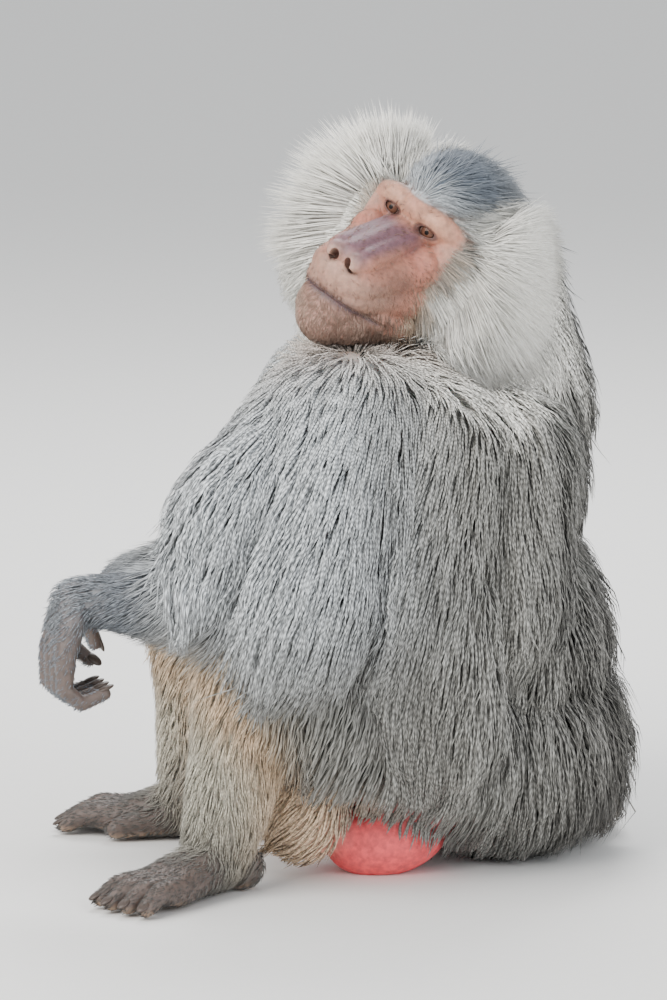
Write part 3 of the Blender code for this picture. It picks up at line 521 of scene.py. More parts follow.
def cutFace(piece):
    # Eye sockets with lids, nostrils and the mouth.
    for _, side in sides:
        opening = headPoint(head["eyeForward"] + 0.012, head["eyeUp"] - 0.001, side * head["eyeApart"] / 2)
        slitAxes = headAxes @ Euler((0, side * math.radians(-5), 0)).to_matrix()
        wingAxes = headAxes @ Euler((0, side * math.radians(35), 0)).to_matrix()
        for centre, radii, axes in (
            (eyeCentre(side), (head["eyeRadius"] + 0.0005,) * 3, None),
            (opening, (0.0090, 0.014, 0.0043), slitAxes),
            (headPoint(0.1600, -0.0515, side * 0.0078), (0.0044, 0.0110, 0.0056), headAxes),
            (headPoint(0.1590, -0.0570, side * 0.0122), (0.0052, 0.0085, 0.0024), wingAxes),
        ):
            cutter = bmesh.new()
            addBall(cutter, centre, radii, axes)
            combine(piece, pieceFrom("cutter", cutter), "DIFFERENCE")
    tree = BVHTree.FromObject(piece, bpy.context.evaluated_depsgraph_get())
    points = []
    for place in range(mouth["steps"] + 1):
        angle = math.radians(-90 + 180 * place / mouth["steps"])
        height = mouth["height"] + mouth["rise"] * math.cos(angle)
        reach, across = mouth["reach"] * math.cos(angle), mouth["width"] * math.sin(angle)
        outside = headPoint(mouth["middle"] + reach, height, across)
        inside = headPoint(mouth["middle"], height)
        points.append(tree.ray_cast(outside, (inside - outside).normalized())[0])
    body = bmesh.new()
    for first, second in zip(points, points[1:]):
        addLimb(body, first, second, groove["radius"], groove["radius"])
    line = pieceFrom("groove", body)
    addModifier(line, "REMESH", mode="VOXEL", voxel_size=groove["voxel"])
    applyModifiers(line)
    combine(piece, line, "DIFFERENCE")


def makeSkin():
    skin = meltForms("skin", forms[:bodyFormCount], skinMesh["voxel"], skinMesh["smoothing"])
    thinOut(skin, skinMesh["bodyTriangles"])
    print("body melted")
    chosen = forms[bodyFormCount:endFormCount]
    ends = meltForms("ends", chosen, skinMesh["endVoxel"], skinMesh["endSmoothing"])
    face = meltForms("face", forms[endFormCount:], head["voxel"], head["smoothing"])
    cutFace(face)
    print("face and ends melted")
    combine(skin, ends, "UNION")
    combine(skin, face, "UNION")
    thinOut(skin, skinMesh["triangles"])
    found = places(skin.data)
    found[:, 2] = np.maximum(found[:, 2], 0.0)
    setPlaces(skin.data, found)
    return skin


skin = makeSkin()
print("skin has", len(skin.data.vertices), "points")


# Where each point of the skin belongs

def distances(points):
    # How far each point is from each form, as one column for each zone.
    columns = {}
    for zone, kind, ends, radii, axes in forms:
        if kind == "ball":
            away = points - np.array(ends[0])
            if axes is not None:
                away = away @ np.array(axes)
            first = np.linalg.norm(away / np.array(radii), axis=1)
            second = np.linalg.norm(away / np.array(radii) ** 2, axis=1)
            found = first * (first - 1) / np.maximum(second, 1e-6)
        else:
            start, along = np.array(ends[0]), np.array(ends[1] - ends[0])
            share = np.clip((points - start) @ along / (along @ along), 0, 1)
            found = np.linalg.norm(points - start - share[:, None] * along, axis=1)
            found -= radii[0] + (radii[1] - radii[0]) * share
        columns[zone] = np.minimum(columns.get(zone, found), found)
    return list(columns), np.stack(list(columns.values()), axis=1)


def shares(points, blend=0.012):
    # How much each zone counts at each point.
    zones, found = distances(points)
    weight = np.exp(-(found - found.min(axis=1, keepdims=True)) / blend)
    return zones, weight / weight.sum(axis=1, keepdims=True)


def unit(vectors):
    return vectors / np.maximum(np.linalg.norm(vectors, axis=-1, keepdims=True), 1e-9)


def step(low, high, value):
    share = np.clip((value - low) / (high - low), 0, 1)
    return share * share * (3 - 2 * share)


def inHead(points):
    # Forward, up and left of the middle of the head.
    away = points - np.array(head["middle"])
    turned = away @ np.array(headAxes)
    return -turned[:, 1], turned[:, 2], turned[:, 0]


# How the coat lies

neckBase = np.array((0.0, 0.060, 0.520))
down = np.array((0.0, 0.0, -1.0))
headForward, headUp, headLeft = [np.array(headDirection(*way)) for way in ((1, 0), (0, 1), (0, 0, 1))]


def lieOfBody(spread):
    def lie(points):
        return unit(unit(points - neckBase) * spread + down * 0.75)
    return lie


def lieOfLimb(start, end, lean):
    way = np.array((end - start).normalized()) + np.array(lean)
    return lambda points: np.tile(unit(way), (len(points), 1))


def lieOfRuff(points):
    forward, up, left = inHead(points)
    way = headLeft * left[:, None] + headUp * (up + 0.028)[:, None]
    hang = 0.22 + 0.55 * step(0.030, 0.120, left) * step(0.030, -0.030, up)
    return unit(unit(way) + headForward * -0.28 + down * hang[:, None])


def lieOfCrown(points):
    forward, up, left = inHead(points)
    return unit(headForward * -1.0 + headLeft * (left * 5)[:, None] + down * 0.2)


def lieOfTail(points):
    ends = np.array([tuple(point) for point in tailPoints])
    nearest = np.argmin(np.linalg.norm(points[:, None] - ends[None], axis=2), axis=1)
    ahead = ends[np.minimum(nearest + 1, len(ends) - 1)] - ends[np.maximum(nearest - 1, 0)]
    return unit(unit(ahead) + down * 0.25)


coat = {  # length, width, stand, lift, droop, hug and cover of the tufts of each zone
    "chest": (0.062, 1.0, 0.24, 0.020, 0.20, 0.70, 1.0),
    "nape": (0.066, 1.0, 0.24, 0.022, 0.20, 0.60, 1.0),
    "shoulders": (0.058, 1.0, 0.22, 0.020, 0.20, 0.65, 1.0),
    "belly": (0.066, 1.0, 0.24, 0.024, 0.30, 0.65, 1.0),
    "rump": (0.066, 1.0, 0.24, 0.026, 0.30, 0.60, 1.0),
    "neck": (0.095, 0.9, 0.22, 0.022, 0.20, 0.45, 1.1),
    "hood": (0.065, 0.8, 0.16, 0.009, 0.10, 0.60, 1.5),
    "upperArm": (0.062, 1.0, 0.24, 0.021, 0.40, 0.50, 1.1),
    "forearm": (0.030, 0.7, 0.15, 0.007, 0.10, 0.60, 1.6),
    "thigh": (0.050, 0.8, 0.18, 0.012, 0.25, 0.60, 1.2),
    "shank": (0.028, 0.7, 0.16, 0.009, 0.15, 0.60, 1.7),
    "tail": (0.028, 0.7, 0.14, 0.005, 0.05, 0.70, 1.2),
    "ruff": (0.080, 0.85, 0.30, 0.016, 0.10, 0.00, 1.5),
    "pad": (0.020, 0.5, 0.15, 0.002, 0.10, 0.50, 0.0),
    "hand": (0.009, 0.50, 0.12, 0.0014, 0.05, 0.60, 1.3),
    "foot": (0.011, 0.55, 0.12, 0.0018, 0.05, 0.60, 1.5),
    "head": (0.060, 0.75, 0.22, 0.014, 0.05, 0.30, 1.8),
}
coatNames = ("length", "width", "stand", "lift", "droop", "hug", "cover")
coatTones = {
    "mantle": (0.270, 0.266, 0.246), "mantleFrontLit": (0.52, 0.55, 0.57), "back": (0.085, 0.080, 0.072),
    "ruff": (0.95, 0.93, 0.86), "ruffEdge": (0.56, 0.535, 0.45), "crown": (0.15, 0.185, 0.235),
    "leg": (0.62, 0.59, 0.48), "tan": (0.70, 0.46, 0.27), "peach": (0.94, 0.70, 0.48),
    "arm": (0.20, 0.225, 0.26), "foot": (0.095, 0.088, 0.082), "tail": (0.30, 0.27, 0.23),
    "brow": (0.12, 0.065, 0.045), "forehead": (0.62, 0.65, 0.66), "fringe": (0.70, 0.52, 0.37),
    "faceHair": (0.30, 0.17, 0.125), "chinHair": (0.44, 0.29, 0.225), "jawHair": (0.80, 0.62, 0.45),
}
ruffReach = {"least": 0.100, "lobe": (0.096, 0.070), "turn": -42.0, "past": 0.004}
locks = {"across": (0.034, 0.057), "lift": 0.42, "shade": 0.16}

limbLies = {  # the joints at both ends, and how the hair leans off that way
    "upperArm": ("shoulder", "elbow", (0, -0.35, -0.35)),
    "forearm": ("elbow", "wrist", (0, 0, -0.35)),
    "thigh": ("hip", "knee", (0, 0, -0.9)),
    "shank": ("knee", "ankle", (0, 0.15, 0)),
    "hand": ("elbow", "wrist", (0, 0, -0.8)),
    "foot": ("ankle", "toe", (0, 0, 0)),
}


def zoneLie(zone):
    plain = plainZone(zone)
    place = 1 if zone.endswith("Right") else 0
    if plain in limbLies:
        start, end, lean = limbLies[plain]
        return lieOfLimb(joints[start][place], joints[end][place], lean)
    spread = {"rump": 0.35, "belly": 0.4, "chest": 0.5, "neck": 0.7}.get(plain, 0.55)
    whole = {"ruff": lieOfRuff, "hood": lieOfCrown, "head": lieOfCrown, "tail": lieOfTail}
    return whole.get(plain) or lieOfBody(spread)


def mixTones(tones, named, shares):
    # Lays the named tones over each other in turn.
    for name, share in shares:
        tones = tones + (np.array(named[name]) - tones) * np.clip(share, 0, 1)[:, None]
    return tones


def collarAt(points):
    # Where the near ruff lies over the shoulder.
    lower = points @ np.array((-0.0734, 0.4904, 0.985))
    rear = points @ np.array((-0.459, -1.323, 0.985))
    return step(0.436, 0.456, lower) * step(0.243, 0.262, rear) * step(0.0, 0.04, points[:, 0])


def mantleShare(weightOf):
    return sum(weightOf[zone] for zone in ("chest", "shoulders", "nape", "neck", "upperArm"))


def headMasks(points, weightOf):
    # Where the head is bare, where the ruffs and the throat are white, and how far behind the hairline it is.
    forward, up, left = inHead(points)
    apart = abs(left)
    hairline = 0.056 - 0.012 * step(-0.070, -0.100, up)
    hairline = hairline + 0.036 * step(-0.116, -0.132, up) * step(0.045, 0.020, apart)
    outer = step(0.030, 0.042, apart)
    hairline = hairline + 0.009 * outer * step(0.004, -0.012, up) * step(-0.085, -0.065, up)
    hairline = hairline + 0.0015 * np.sin(up * 700) * np.sin(left * 400 + 1)
    face = step(-0.003, 0.003, forward - hairline) * step(0.019, 0.015, up)
    face = (weightOf["head"] + weightOf["ruff"]) * face
    behind = np.maximum(hairline - forward, np.maximum(up - 0.015, 0) * 1.5)
    near = weightOf["head"] + weightOf["hood"] + weightOf["neck"] * step(0.19, 0.14, np.hypot(up, left))
    sideways = step(0.020, 0.044, apart) * step(0.066, 0.040, up - apart * 0.5)
    sideways = np.maximum(sideways, step(-0.060, -0.080, up))
    ruff = weightOf["ruff"] + near * step(-0.055, -0.020, forward) * sideways
    throat = np.exp(-((forward - 0.035) / 0.065) ** 2 - ((up + 0.148) / 0.048) ** 2 - (left / 0.075) ** 2)
    ruff = ruff + throat * 3.0 * step(-0.04, 0.0, forward)
    ruff = np.maximum(ruff, collarAt(points) * mantleShare(weightOf))
    return face, np.clip(ruff, 0, 1), behind


def lockRidges(points):
    # Long soft ridges and valleys that run down the mantle, from -1 to 1.
    x, y, z = points.T
    around = np.arctan2(x, -(y - 0.06)) * 0.19
    first, second = locks["across"]
    slow = np.sin(around / second * 6.2832 + 1.3 + 1.6 * np.sin(z * 8.0))
    quick = np.sin(around / first * 6.2832 + 2.2 * np.sin(z * 11.0 + 1.0) + slow)
    return 0.55 * quick + 0.45 * slow


def curtainAt(points):
    # How far a point of the thigh is behind the front edge of the hair that hangs over it.
    return points[:, 1] + 0.169 - (0.233 - points[:, 2]) * 0.558


def coatToneAt(points, weightOf):
    # The markings, with painted light on the front of the mantle and painted shade on its back, between its
    # locks and at the ruff's edge; read by the skin and by every tuft.
    x, y, z = points.T
    forward, up, left = inHead(points)
    face, ruff, behind = headMasks(points, weightOf)
    leg = weightOf["thigh"] + weightOf["shank"]
    bare = step(0.010, -0.015, curtainAt(points))
    tan = np.exp(-((curtainAt(points) + 0.024) / 0.034) ** 2)
    low = leg + weightOf["rump"] + weightOf["belly"]
    tones = mixTones(np.tile(np.array(coatTones["mantle"]), (len(points), 1)), coatTones, (
        # painted light: the front of the mantle, where the light falls from the front left, is made lighter
        # and bluer
        ("mantleFrontLit", step(0.06, -0.12, y) * step(0.18, 0.34, z)),
        # painted shade: the rear of the mantle is darker, and its low rear darker still, away from the light
        ("back", step(0.09, 0.20, y) * 0.95),
        ("back", step(0.16, 0.02, z) * step(0.08, 0.18, y) * 0.6),
        ("leg", leg * np.maximum(bare, weightOf["shank"])),
        ("tan", weightOf["thigh"] * tan * 0.8 + weightOf["shank"] * tan * 0.75),
        ("peach", low * step(0.135, 0.08, z) * np.exp(-((y + 0.105) / 0.048) ** 2) * 1.3),
        ("arm", weightOf["forearm"] * step(-0.20, -0.26, y) * 0.95),
        ("foot", weightOf["foot"]),
        ("arm", weightOf["hand"]),
        ("tail", weightOf["tail"]),
    ))
    others = sum(weightOf[zone] for zone in ("thigh", "shank", "foot", "hand", "tail", "head", "ruff"))
    # painted shade in the valleys between the mantle's locks, and painted light on their ridges
    tones = tones * (1 + locks["shade"] * lockRidges(points) * (1 - np.clip(others, 0, 1)))[:, None]
    crown = (weightOf["hood"] + weightOf["head"] + weightOf["neck"] * step(0.50, 0.56, z)) * (1 - ruff)
    # the ruff turns olive at its outer edge on the near side and at its rear: partly the hair's own grizzled
    # tips, partly painted shade
    rim = step(0.085, 0.150, np.hypot(up, left)) * (left > 0) * 0.45
    rim = np.maximum(step(0.010, -0.034, forward) * 0.6, rim)
    edge = weightOf["head"] * step(0.014, 0.002, behind)
    jaw = step(0.082, 0.062, forward) * step(-0.03, -0.06, up)
    jaw = np.maximum(step(-0.112, -0.126, up) * step(0.130, 0.105, forward), jaw)
    return mixTones(tones, coatTones, (
        ("crown", crown),
        ("forehead", crown * step(0.034, 0.008, behind) * 0.75),
        ("ruff", ruff),
        ("ruffEdge", weightOf["ruff"] * rim),
        ("fringe", edge * step(0.010, -0.010, up) * 0.7),
        ("brow", edge * step(-0.004, 0.008, up) * step(0.007, 0.002, behind) * 0.9),
        ("faceHair", face),
        ("chinHair", face * np.maximum(step(-0.088, -0.100, up), step(0.075, 0.060, forward))),
        ("jawHair", face * jaw * 0.9),
    ))


def nearPad(points):
    # How far each point is from the seat pads.
    away = np.stack([points * (side, 1, 1) - seatPad["at"] for _, side in sides]) / seatPad["radii"]
    return (np.linalg.norm(away, axis=2).min(axis=0) - 1) * 0.045


def markCoat(mesh):
    # Gives each point of the mesh its lie, sizes and tone of the coat.
    points, outward = places(mesh), normals(mesh)
    zones, weight = shares(points)
    plain = [plainZone(zone) for zone in zones]
    weightOf = {name: sum(weight[:, k] for k, other in enumerate(plain) if other == name) for name in coat}
    lie = sum(zoneLie(zone)(points) * weight[:, k:k + 1] for k, zone in enumerate(zones))
    face, ruff, behind = headMasks(points, weightOf)
    lie = lie + (lieOfRuff(points) - lie) * (ruff * (1 - weightOf["ruff"]))[:, None]
    x, y, z = points.T
    hanging = weightOf["thigh"] * step(-0.015, 0.010, curtainAt(points))
    lie = unit(lie) + down * (hanging * 1.2)[:, None]
    lie = lie - outward * (lie * outward).sum(axis=1, keepdims=True) * 0.85
    sizes = sum(np.array(coat[name])[None] * weight[:, k:k + 1] for k, name in enumerate(plain))
    sizes = dict(zip(coatNames, sizes.T.copy()))

    def blend(share, **wanted):
        for name, value in wanted.items():
            sizes[name] += (value - sizes[name]) * share

    forward, up, left = inHead(points)
    angle = np.arctan2(up, abs(left))
    lobe = np.maximum(0, np.cos(angle - math.radians(ruffReach["turn"]))) ** 2.5
    reach = ruffReach["least"] + np.where(left > 0, *ruffReach["lobe"]) * lobe
    blend(ruff, length=np.clip(reach - np.hypot(up, left) + ruffReach["past"], 0.016, 0.105), hug=0.0)
    blend(ruff * step(-0.050, -0.110, up), lift=0.044)
    blend(ruff, stand=0.30, width=0.85)
    blend(collarAt(points) * mantleShare(weightOf), length=0.050, lift=0.017, stand=0.20, hug=0.5)
    crown = weightOf["hood"] + weightOf["head"]
    for name, least, reach in (("length", 0.16, 0.040), ("lift", 0.06, 0.045), ("width", 0.40, 0.040)):
        sizes[name] *= 1 - crown * (1 - np.clip(least + behind / reach, least, 1))
    sizes["stand"] *= 1 - crown * 0.5 * step(0.016, 0.0, behind)

    # The cape stands forward over the arms, and hangs over the flanks and elbows.
    cape = (weightOf["chest"] + weightOf["shoulders"] + weightOf["upperArm"]) * step(0.02, -0.09, y)
    cape *= step(0.1, -0.5, outward[:, 1]) * step(0.20, 0.26, z) * step(0.47, 0.41, z)
    blend(cape, lift=0.027, length=0.075, stand=0.36, hug=0.30)
    blend(weightOf["upperArm"] * step(0.34, 0.26, z), length=0.080, hug=0.05, droop=0.9)
    blend(weightOf["forearm"] * step(-0.27, -0.17, y), length=0.075, lift=0.016, droop=0.7, hug=0.1)
    blend(hanging, length=0.075, lift=0.036, width=1.0)
    rear = (weightOf["rump"] + weightOf["belly"]) * step(0.1, 0.7, outward[:, 1])
    blend(rear * step(0.04, 0.10, z) * step(0.30, 0.22, z), lift=0.036, length=0.080)
    top = step(0.400, 0.460, z) * step(0.10, 0.04, y) * (1 - crown) * (1 - ruff)
    sizes["lift"] *= 1 - 0.55 * top
    sizes["length"] *= 1 - 0.35 * top
    others = crown + ruff + sum(weightOf[zone] for zone in ("shank", "foot", "hand", "tail"))
    sizes["lift"] *= 1 + locks["lift"] * lockRidges(points) * (1 - np.clip(others, 0, 1))

    # The hair is short by the seat pads and ends over them in a hem.
    seat = step(0.080, 0.034, nearPad(points)) * (1 - weightOf["shank"]) * step(0.075, 0.035, y)
    blend(seat, length=0.022, lift=0.006, hug=0.7)
    hem = 0.074 - 0.060 * step(0.030, 0.055, y) + 0.10 * step(-0.09, -0.12, y)
    over = sum(weightOf[zone] for zone in ("rump", "belly", "thigh", "chest"))
    over = over * (abs(y + 0.02) < 0.08) * (z > 0.05)
    blend(np.clip(over, 0, 1), length=np.minimum(sizes["length"], np.maximum(z - hem, 0.012) * 1.15))
    blend(weightOf["thigh"] * step(0.125, 0.095, z), length=0.032, lift=0.008, droop=0.3)

    # The face has short down, most of it on the jaw.
    sizes["cover"] *= step(0.55, 0.10, face)
    blend(face, length=0.0065, width=0.24, lift=0.0010, stand=0.10)
    low = np.maximum(step(-0.080, -0.090, up), step(0.085, 0.062, forward) * step(-0.020, -0.040, up) * 0.7)
    lips = np.exp(-((up + 0.087 + (0.155 - forward) * 0.11) / 0.003) ** 2)
    sizes["faceCover"] = face * (0.05 + 0.95 * low) * (1 - lips) * step(0.162, 0.150, forward)
    return lie, sizes, coatToneAt(points, weightOf), weightOf, zones, weight


# Materials

hairSurface = {"specular": 0.3, "sheen": 0.15}
hairParts = ("Bands", "Banding", "Streaks", "Tip", "RootShade", "ValleyShade")
# The root and valley strengths are painted shade, darkening the tufts at their roots and in the gaps between
# clumps.
hairLooks = {
    "mantleHair": (9.0, 0.50, 0.28, 0.14, 0.03, 0.08),
    "ruffHair": (7.0, 0.11, 0.30, 0.06, 0.06, 0.08),
    "crownHair": (8.0, 0.26, 0.36, 0.10, 0.15, 0.15),
    "legHair": (6.0, 0.24, 0.34, 0.10, 0.10, 0.10),
    "armHair": (3.5, 0.35, 0.40, 0.15, 0.30, 0.20),
}


def makeHairGroup():
    # Bands along each tuft, fine streaks across it and a shade of its own, with painted shade at its root and
    # in the gaps between clumps; lit partly as the coat below it.
    tree, given, outlet = addGroup("hairTone", "ShaderNodeTree", (
        ("Tone", "Color", (0.5, 0.5, 0.5, 1)), ("Strand", "Vector", None), ("Above", "Vector", None),
        ("Bands", "Float", 3.0), ("Banding", "Float", 0.6), ("Streaks", "Float", 0.3),
        ("Tip", "Float", 0.2), ("RootShade", "Float", 0.4), ("Valley", "Float", 0.3),
        ("ValleyShade", "Float", 0.3), ("Softness", "Float", 0.65),
    ), (("Tone", "Color"), ("Roughness", "Float"), ("Normal", "Vector")))

    def number(operation, *values):
        return addNumber(tree, operation, *values)

    across, along, chance = addParts(tree, given["Strand"])
    spot = [number("MULTIPLY", value, size) for value, size in ((across, 4.0), (along, 2.0), (chance, 40.0))]
    noise = {"Vector": addVector(tree, *spot), "Scale": 1.0, "Detail": 1.0}
    streak = addNode(tree, "ShaderNodeTexNoise", noise)["Fac"]
    phase = number("ADD", number("MULTIPLY", along, given["Bands"]), number("MULTIPLY", chance, 7.0))
    wave = number("SINE", number("MULTIPLY", number("MULTIPLY_ADD", streak, 1.6, phase), 6.2832))
    band = number("MULTIPLY", wave, given["Banding"])
    streaks = number("MULTIPLY", number("SUBTRACT", streak, 0.5), number("MULTIPLY", given["Streaks"], 3.0))
    own = number("SUBTRACT", number("FRACT", number("MULTIPLY", chance, 13.7)), 0.5)
    own = number("MULTIPLY", own, given["Streaks"])
    tip = number("MULTIPLY", number("POWER", along, 2.0), given["Tip"])
    # painted shade: darker toward the root, deep in the coat
    root = number("MULTIPLY", number("POWER", number("SUBTRACT", 1.0, along), 2.5), given["RootShade"])
    light = 1.0
    for part in (band, streaks, own, tip):
        light = number("ADD", light, part)
    # painted shade in the gaps between clumps, growing with the distance from the clump's middle
    for part in (root, number("MULTIPLY", given["Valley"], given["ValleyShade"])):
        light = number("SUBTRACT", light, part)
    facing = addNode(tree, "ShaderNodeNewGeometry")["Normal"]
    mixing = {"Factor": given["Softness"], 4: facing, 5: given["Above"]}
    facing = addNode(tree, "ShaderNodeMix", mixing, data_type="VECTOR")[1]
    setInputs(tree, outlet, {
        "Tone": addScaled(tree, given["Tone"], number("MAXIMUM", light, 0.12)),
        "Roughness": number("ADD", 0.50, number("MULTIPLY", streak, 0.25)),
        "Normal": addNode(tree, "ShaderNodeVectorMath", {0: facing}, operation="NORMALIZE")[0],
    })
    return tree


hairGroup = makeHairGroup()


def makeHairMaterial(name):
    material, tree, shader = addMaterial(name)
    hair = addNode(tree, "ShaderNodeGroup", {
        "Tone": addStored(tree, "coatTone", "Color"), "Strand": addStored(tree, "strand"),
        "Above": addStored(tree, "above"), "Valley": addStored(tree, "valley", "Fac"),
        **dict(zip(hairParts, hairLooks[name])),
    }, node_tree=hairGroup)
    setInputs(tree, shader, {
        "Base Color": hair["Tone"], "Roughness": hair["Roughness"], "Normal": hair["Normal"],
        "Specular IOR Level": hairSurface["specular"], "Sheen Weight": hairSurface["sheen"],
    })
    return material


hairMaterials = {name: makeHairMaterial(name) for name in hairLooks}


# Skin colour and material

skinTones = {
    "cheek": (0.42, 0.175, 0.120), "socket": (0.56, 0.30, 0.20), "muzzle": (0.150, 0.072, 0.090),
    "lip": (0.055, 0.033, 0.042), "chin": (0.36, 0.195, 0.150), "upperLip": (0.36, 0.20, 0.145),
    "side": (0.17, 0.085, 0.060), "flush": (0.50, 0.17, 0.12), "rim": (0.66, 0.42, 0.32),
    "nostril": (0.03, 0.014, 0.012), "lid": (0.09, 0.042, 0.040), "fold": (0.16, 0.070, 0.050),
    "hand": (0.105, 0.078, 0.067), "sole": (0.30, 0.21, 0.15), "pad": (0.86, 0.11, 0.12),
}
skinLook = {
    "mottle": 170.0, "pores": 620.0, "creases": 90.0, "relief": 0.0012, "reliefStrength": 0.35,
    "subsurface": 0.10, "subsurfaceSize": 0.004,
}


def skinToneAt(points, coatTone, weightOf):
    forward, up, left = inHead(points)
    apart = abs(left)

    def spot(centre, size):
        # A soft spot on both sides of the face.
        spans = zip((forward, up, apart), centre, size)
        return np.exp(-sum(((value - middle) / wide) ** 2 for value, middle, wide in spans))

    ridge = step(0.066, 0.084, forward) * step(0.026, 0.015, apart + (up + 0.040) * -0.10)
    ridge *= step(-0.002, -0.014, up) * step(-0.058, -0.044, up)
    lipWidth = 0.0026 + 0.0022 * step(0.125, 0.145, forward)
    lips = np.exp(-((up + 0.0885 + (0.155 - forward) * 0.11) / lipWidth) ** 2)
    eyeRound = np.hypot((up - head["eyeUp"] + 0.001) / 0.0052, (apart - head["eyeApart"] / 2) / 0.0102)
    face = mixTones(np.tile(np.array(skinTones["cheek"]), (len(points), 1)), skinTones, (
        ("socket", spot((0.070, 0.006, 0.022), (0.03, 0.014, 0.026)) * 0.95),
        ("flush", spot((0.075, -0.036, 0.034), (0.020, 0.018, 0.016)) * 0.8),
        ("upperLip", step(0.085, 0.120, forward) * step(-0.050, -0.066, up)),
        ("side", spot((0.106, -0.062, 0.030), (0.030, 0.022, 0.018)) * 0.85),
        # the muzzle's top and the hollow beside the bridge are darker and purple: partly the skin's own
        # purple-brown, partly painted shade
        ("muzzle", ridge * step(-0.068, -0.040, up + (forward - 0.10) * 0.42)),
        ("muzzle", spot((0.074, -0.022, 0.016), (0.02, 0.010, 0.010)) * 0.8),
        ("chin", step(0.080, 0.115, forward) * step(-0.086, -0.094, up) * 0.95),
        # painted shade: the groove between the muzzle and the cheek is darkened
        ("fold", spot((0.098, -0.052, 0.036), (0.016, 0.010, 0.016)) * 0.7),
        # painted highlight: a light peach ring on the rims of the nostrils
        ("rim", spot((0.160, -0.0535, 0.0095), (0.012, 0.0105, 0.0085)) * 0.9),
        # painted shade: near black inside and around the nostril holes and their slits
        ("nostril", spot((0.156, -0.0520, 0.0080), (0.0075, 0.0052, 0.0040)) * 1.4),
        ("nostril", spot((0.154, -0.0572, 0.0122), (0.0060, 0.0030, 0.0050)) * 1.2),
        ("lip", lips * step(0.092, 0.112, forward) * 0.9),
        ("lid", step(1.26, 1.06, eyeRound) * step(0.058, 0.064, forward) * 0.85),
    ))
    face = face * (1 - 0.16 * step(0.005, 0.0, abs(up + 0.078)) * step(0.12, 0.10, forward))[:, None]
    bare, _, behind = headMasks(points, weightOf)
    under = (weightOf["head"] + weightOf["ruff"]) * step(0.022, 0.004, behind) * step(0.03, -0.01, up) * 0.85
    tones = coatTone * 0.88
    tones = tones + (face - tones) * np.maximum(bare, under)[:, None]
    return mixTones(tones, skinTones, (
        ("hand", weightOf["hand"]),
        ("hand", weightOf["foot"]),
        ("sole", weightOf["foot"] * step(0.012, 0.004, points[:, 2])),
        ("pad", weightOf["pad"] * 1.4),
    ))


def makeSkinMaterial():
    material, tree, shader = addMaterial("bareSkin")
    place = addNode(tree, "ShaderNodeTexCoord")["Object"]
    noise = {"Vector": place, "Scale": skinLook["mottle"], "Detail": 4.0}
    mottle = addNode(tree, "ShaderNodeTexNoise", noise)["Fac"]
    noise = {"Vector": place, "Scale": skinLook["creases"], "Detail": 6.0, "Distortion": 1.2}
    creases = addNode(tree, "ShaderNodeTexNoise", noise)["Fac"]
    pores = addNode(tree, "ShaderNodeTexVoronoi", {"Vector": place, "Scale": skinLook["pores"]})["Distance"]
    span = {"Value": mottle, "From Min": 0.3, "From Max": 0.7, "To Min": 0.78, "To Max": 1.22}
    shade = addNode(tree, "ShaderNodeMapRange", span)["Result"]
    span = {"Value": mottle, "To Min": 0.42, "To Max": 0.62}
    height = addNumber(tree, "MULTIPLY_ADD", pores, 0.5, creases)
    relief = {"Strength": skinLook["reliefStrength"], "Distance": skinLook["relief"], "Height": height}
    setInputs(tree, shader, {
        "Base Color": addScaled(tree, addStored(tree, "skinTone", "Color"), shade),
        "Roughness": addNode(tree, "ShaderNodeMapRange", span)["Result"],
        "Normal": addNode(tree, "ShaderNodeBump", relief)["Normal"],
        "Subsurface Weight": skinLook["subsurface"], "Subsurface Scale": skinLook["subsurfaceSize"],
    })
    return material


_, _, coatTone, weightOf, _, _ = markCoat(skin.data)
storeTone(skin.data, "skinTone", skinToneAt(places(skin.data), coatTone, weightOf))
skin.data.materials.clear()
skin.data.materials.append(makeSkinMaterial())
skin.data.shade_smooth()


# The coat. Tufts grow on a light copy of the skin, one part of it for each piece.

def makeTuft(name, rings):
    # A flat hair lock, one unit long. Its places are kept as attributes for the growing tree.
    body = bmesh.new()
    keys = [body.verts.layers.float.new(key) for key in ("across", "along", "rise")]
    loops = []
    for along, wide in rings:
        loop = []
        for across, rise in ((-0.5, -0.35), (0.5, -0.35), (0.0, 0.65)):
            vertex = body.verts.new((across * wide, rise, along))
            for key, value in zip(keys, (across * wide, along, rise * (0.4 + 0.6 * wide))):
                vertex[key] = value
            loop.append(vertex)
        loops.append(loop)
    tip = body.verts.new((0, 0, 1))
    for key, value in zip(keys, (0.0, 1.0, 0.0)):
        tip[key] = value
    for first, second in zip(loops, loops[1:]):
        for side in range(3):
            after = (side + 1) % 3
            body.faces.new((first[side], first[after], second[after], second[side]))
    for side in range(3):
        body.faces.new((loops[-1][side], loops[-1][(side + 1) % 3], tip))
    body.faces.new(list(reversed(loops[0])))
    bmesh.ops.recalc_face_normals(body, faces=body.faces)
    tuft = pieceFrom(name, body)
    tuft.hide_render = True
    return tuft


longTuft = makeTuft("longTuft", ((0.0, 0.55), (0.36, 1.0), (0.72, 0.78)))
shortTuft = makeTuft("shortTuft", ((0.0, 0.7), (0.50, 1.0)))


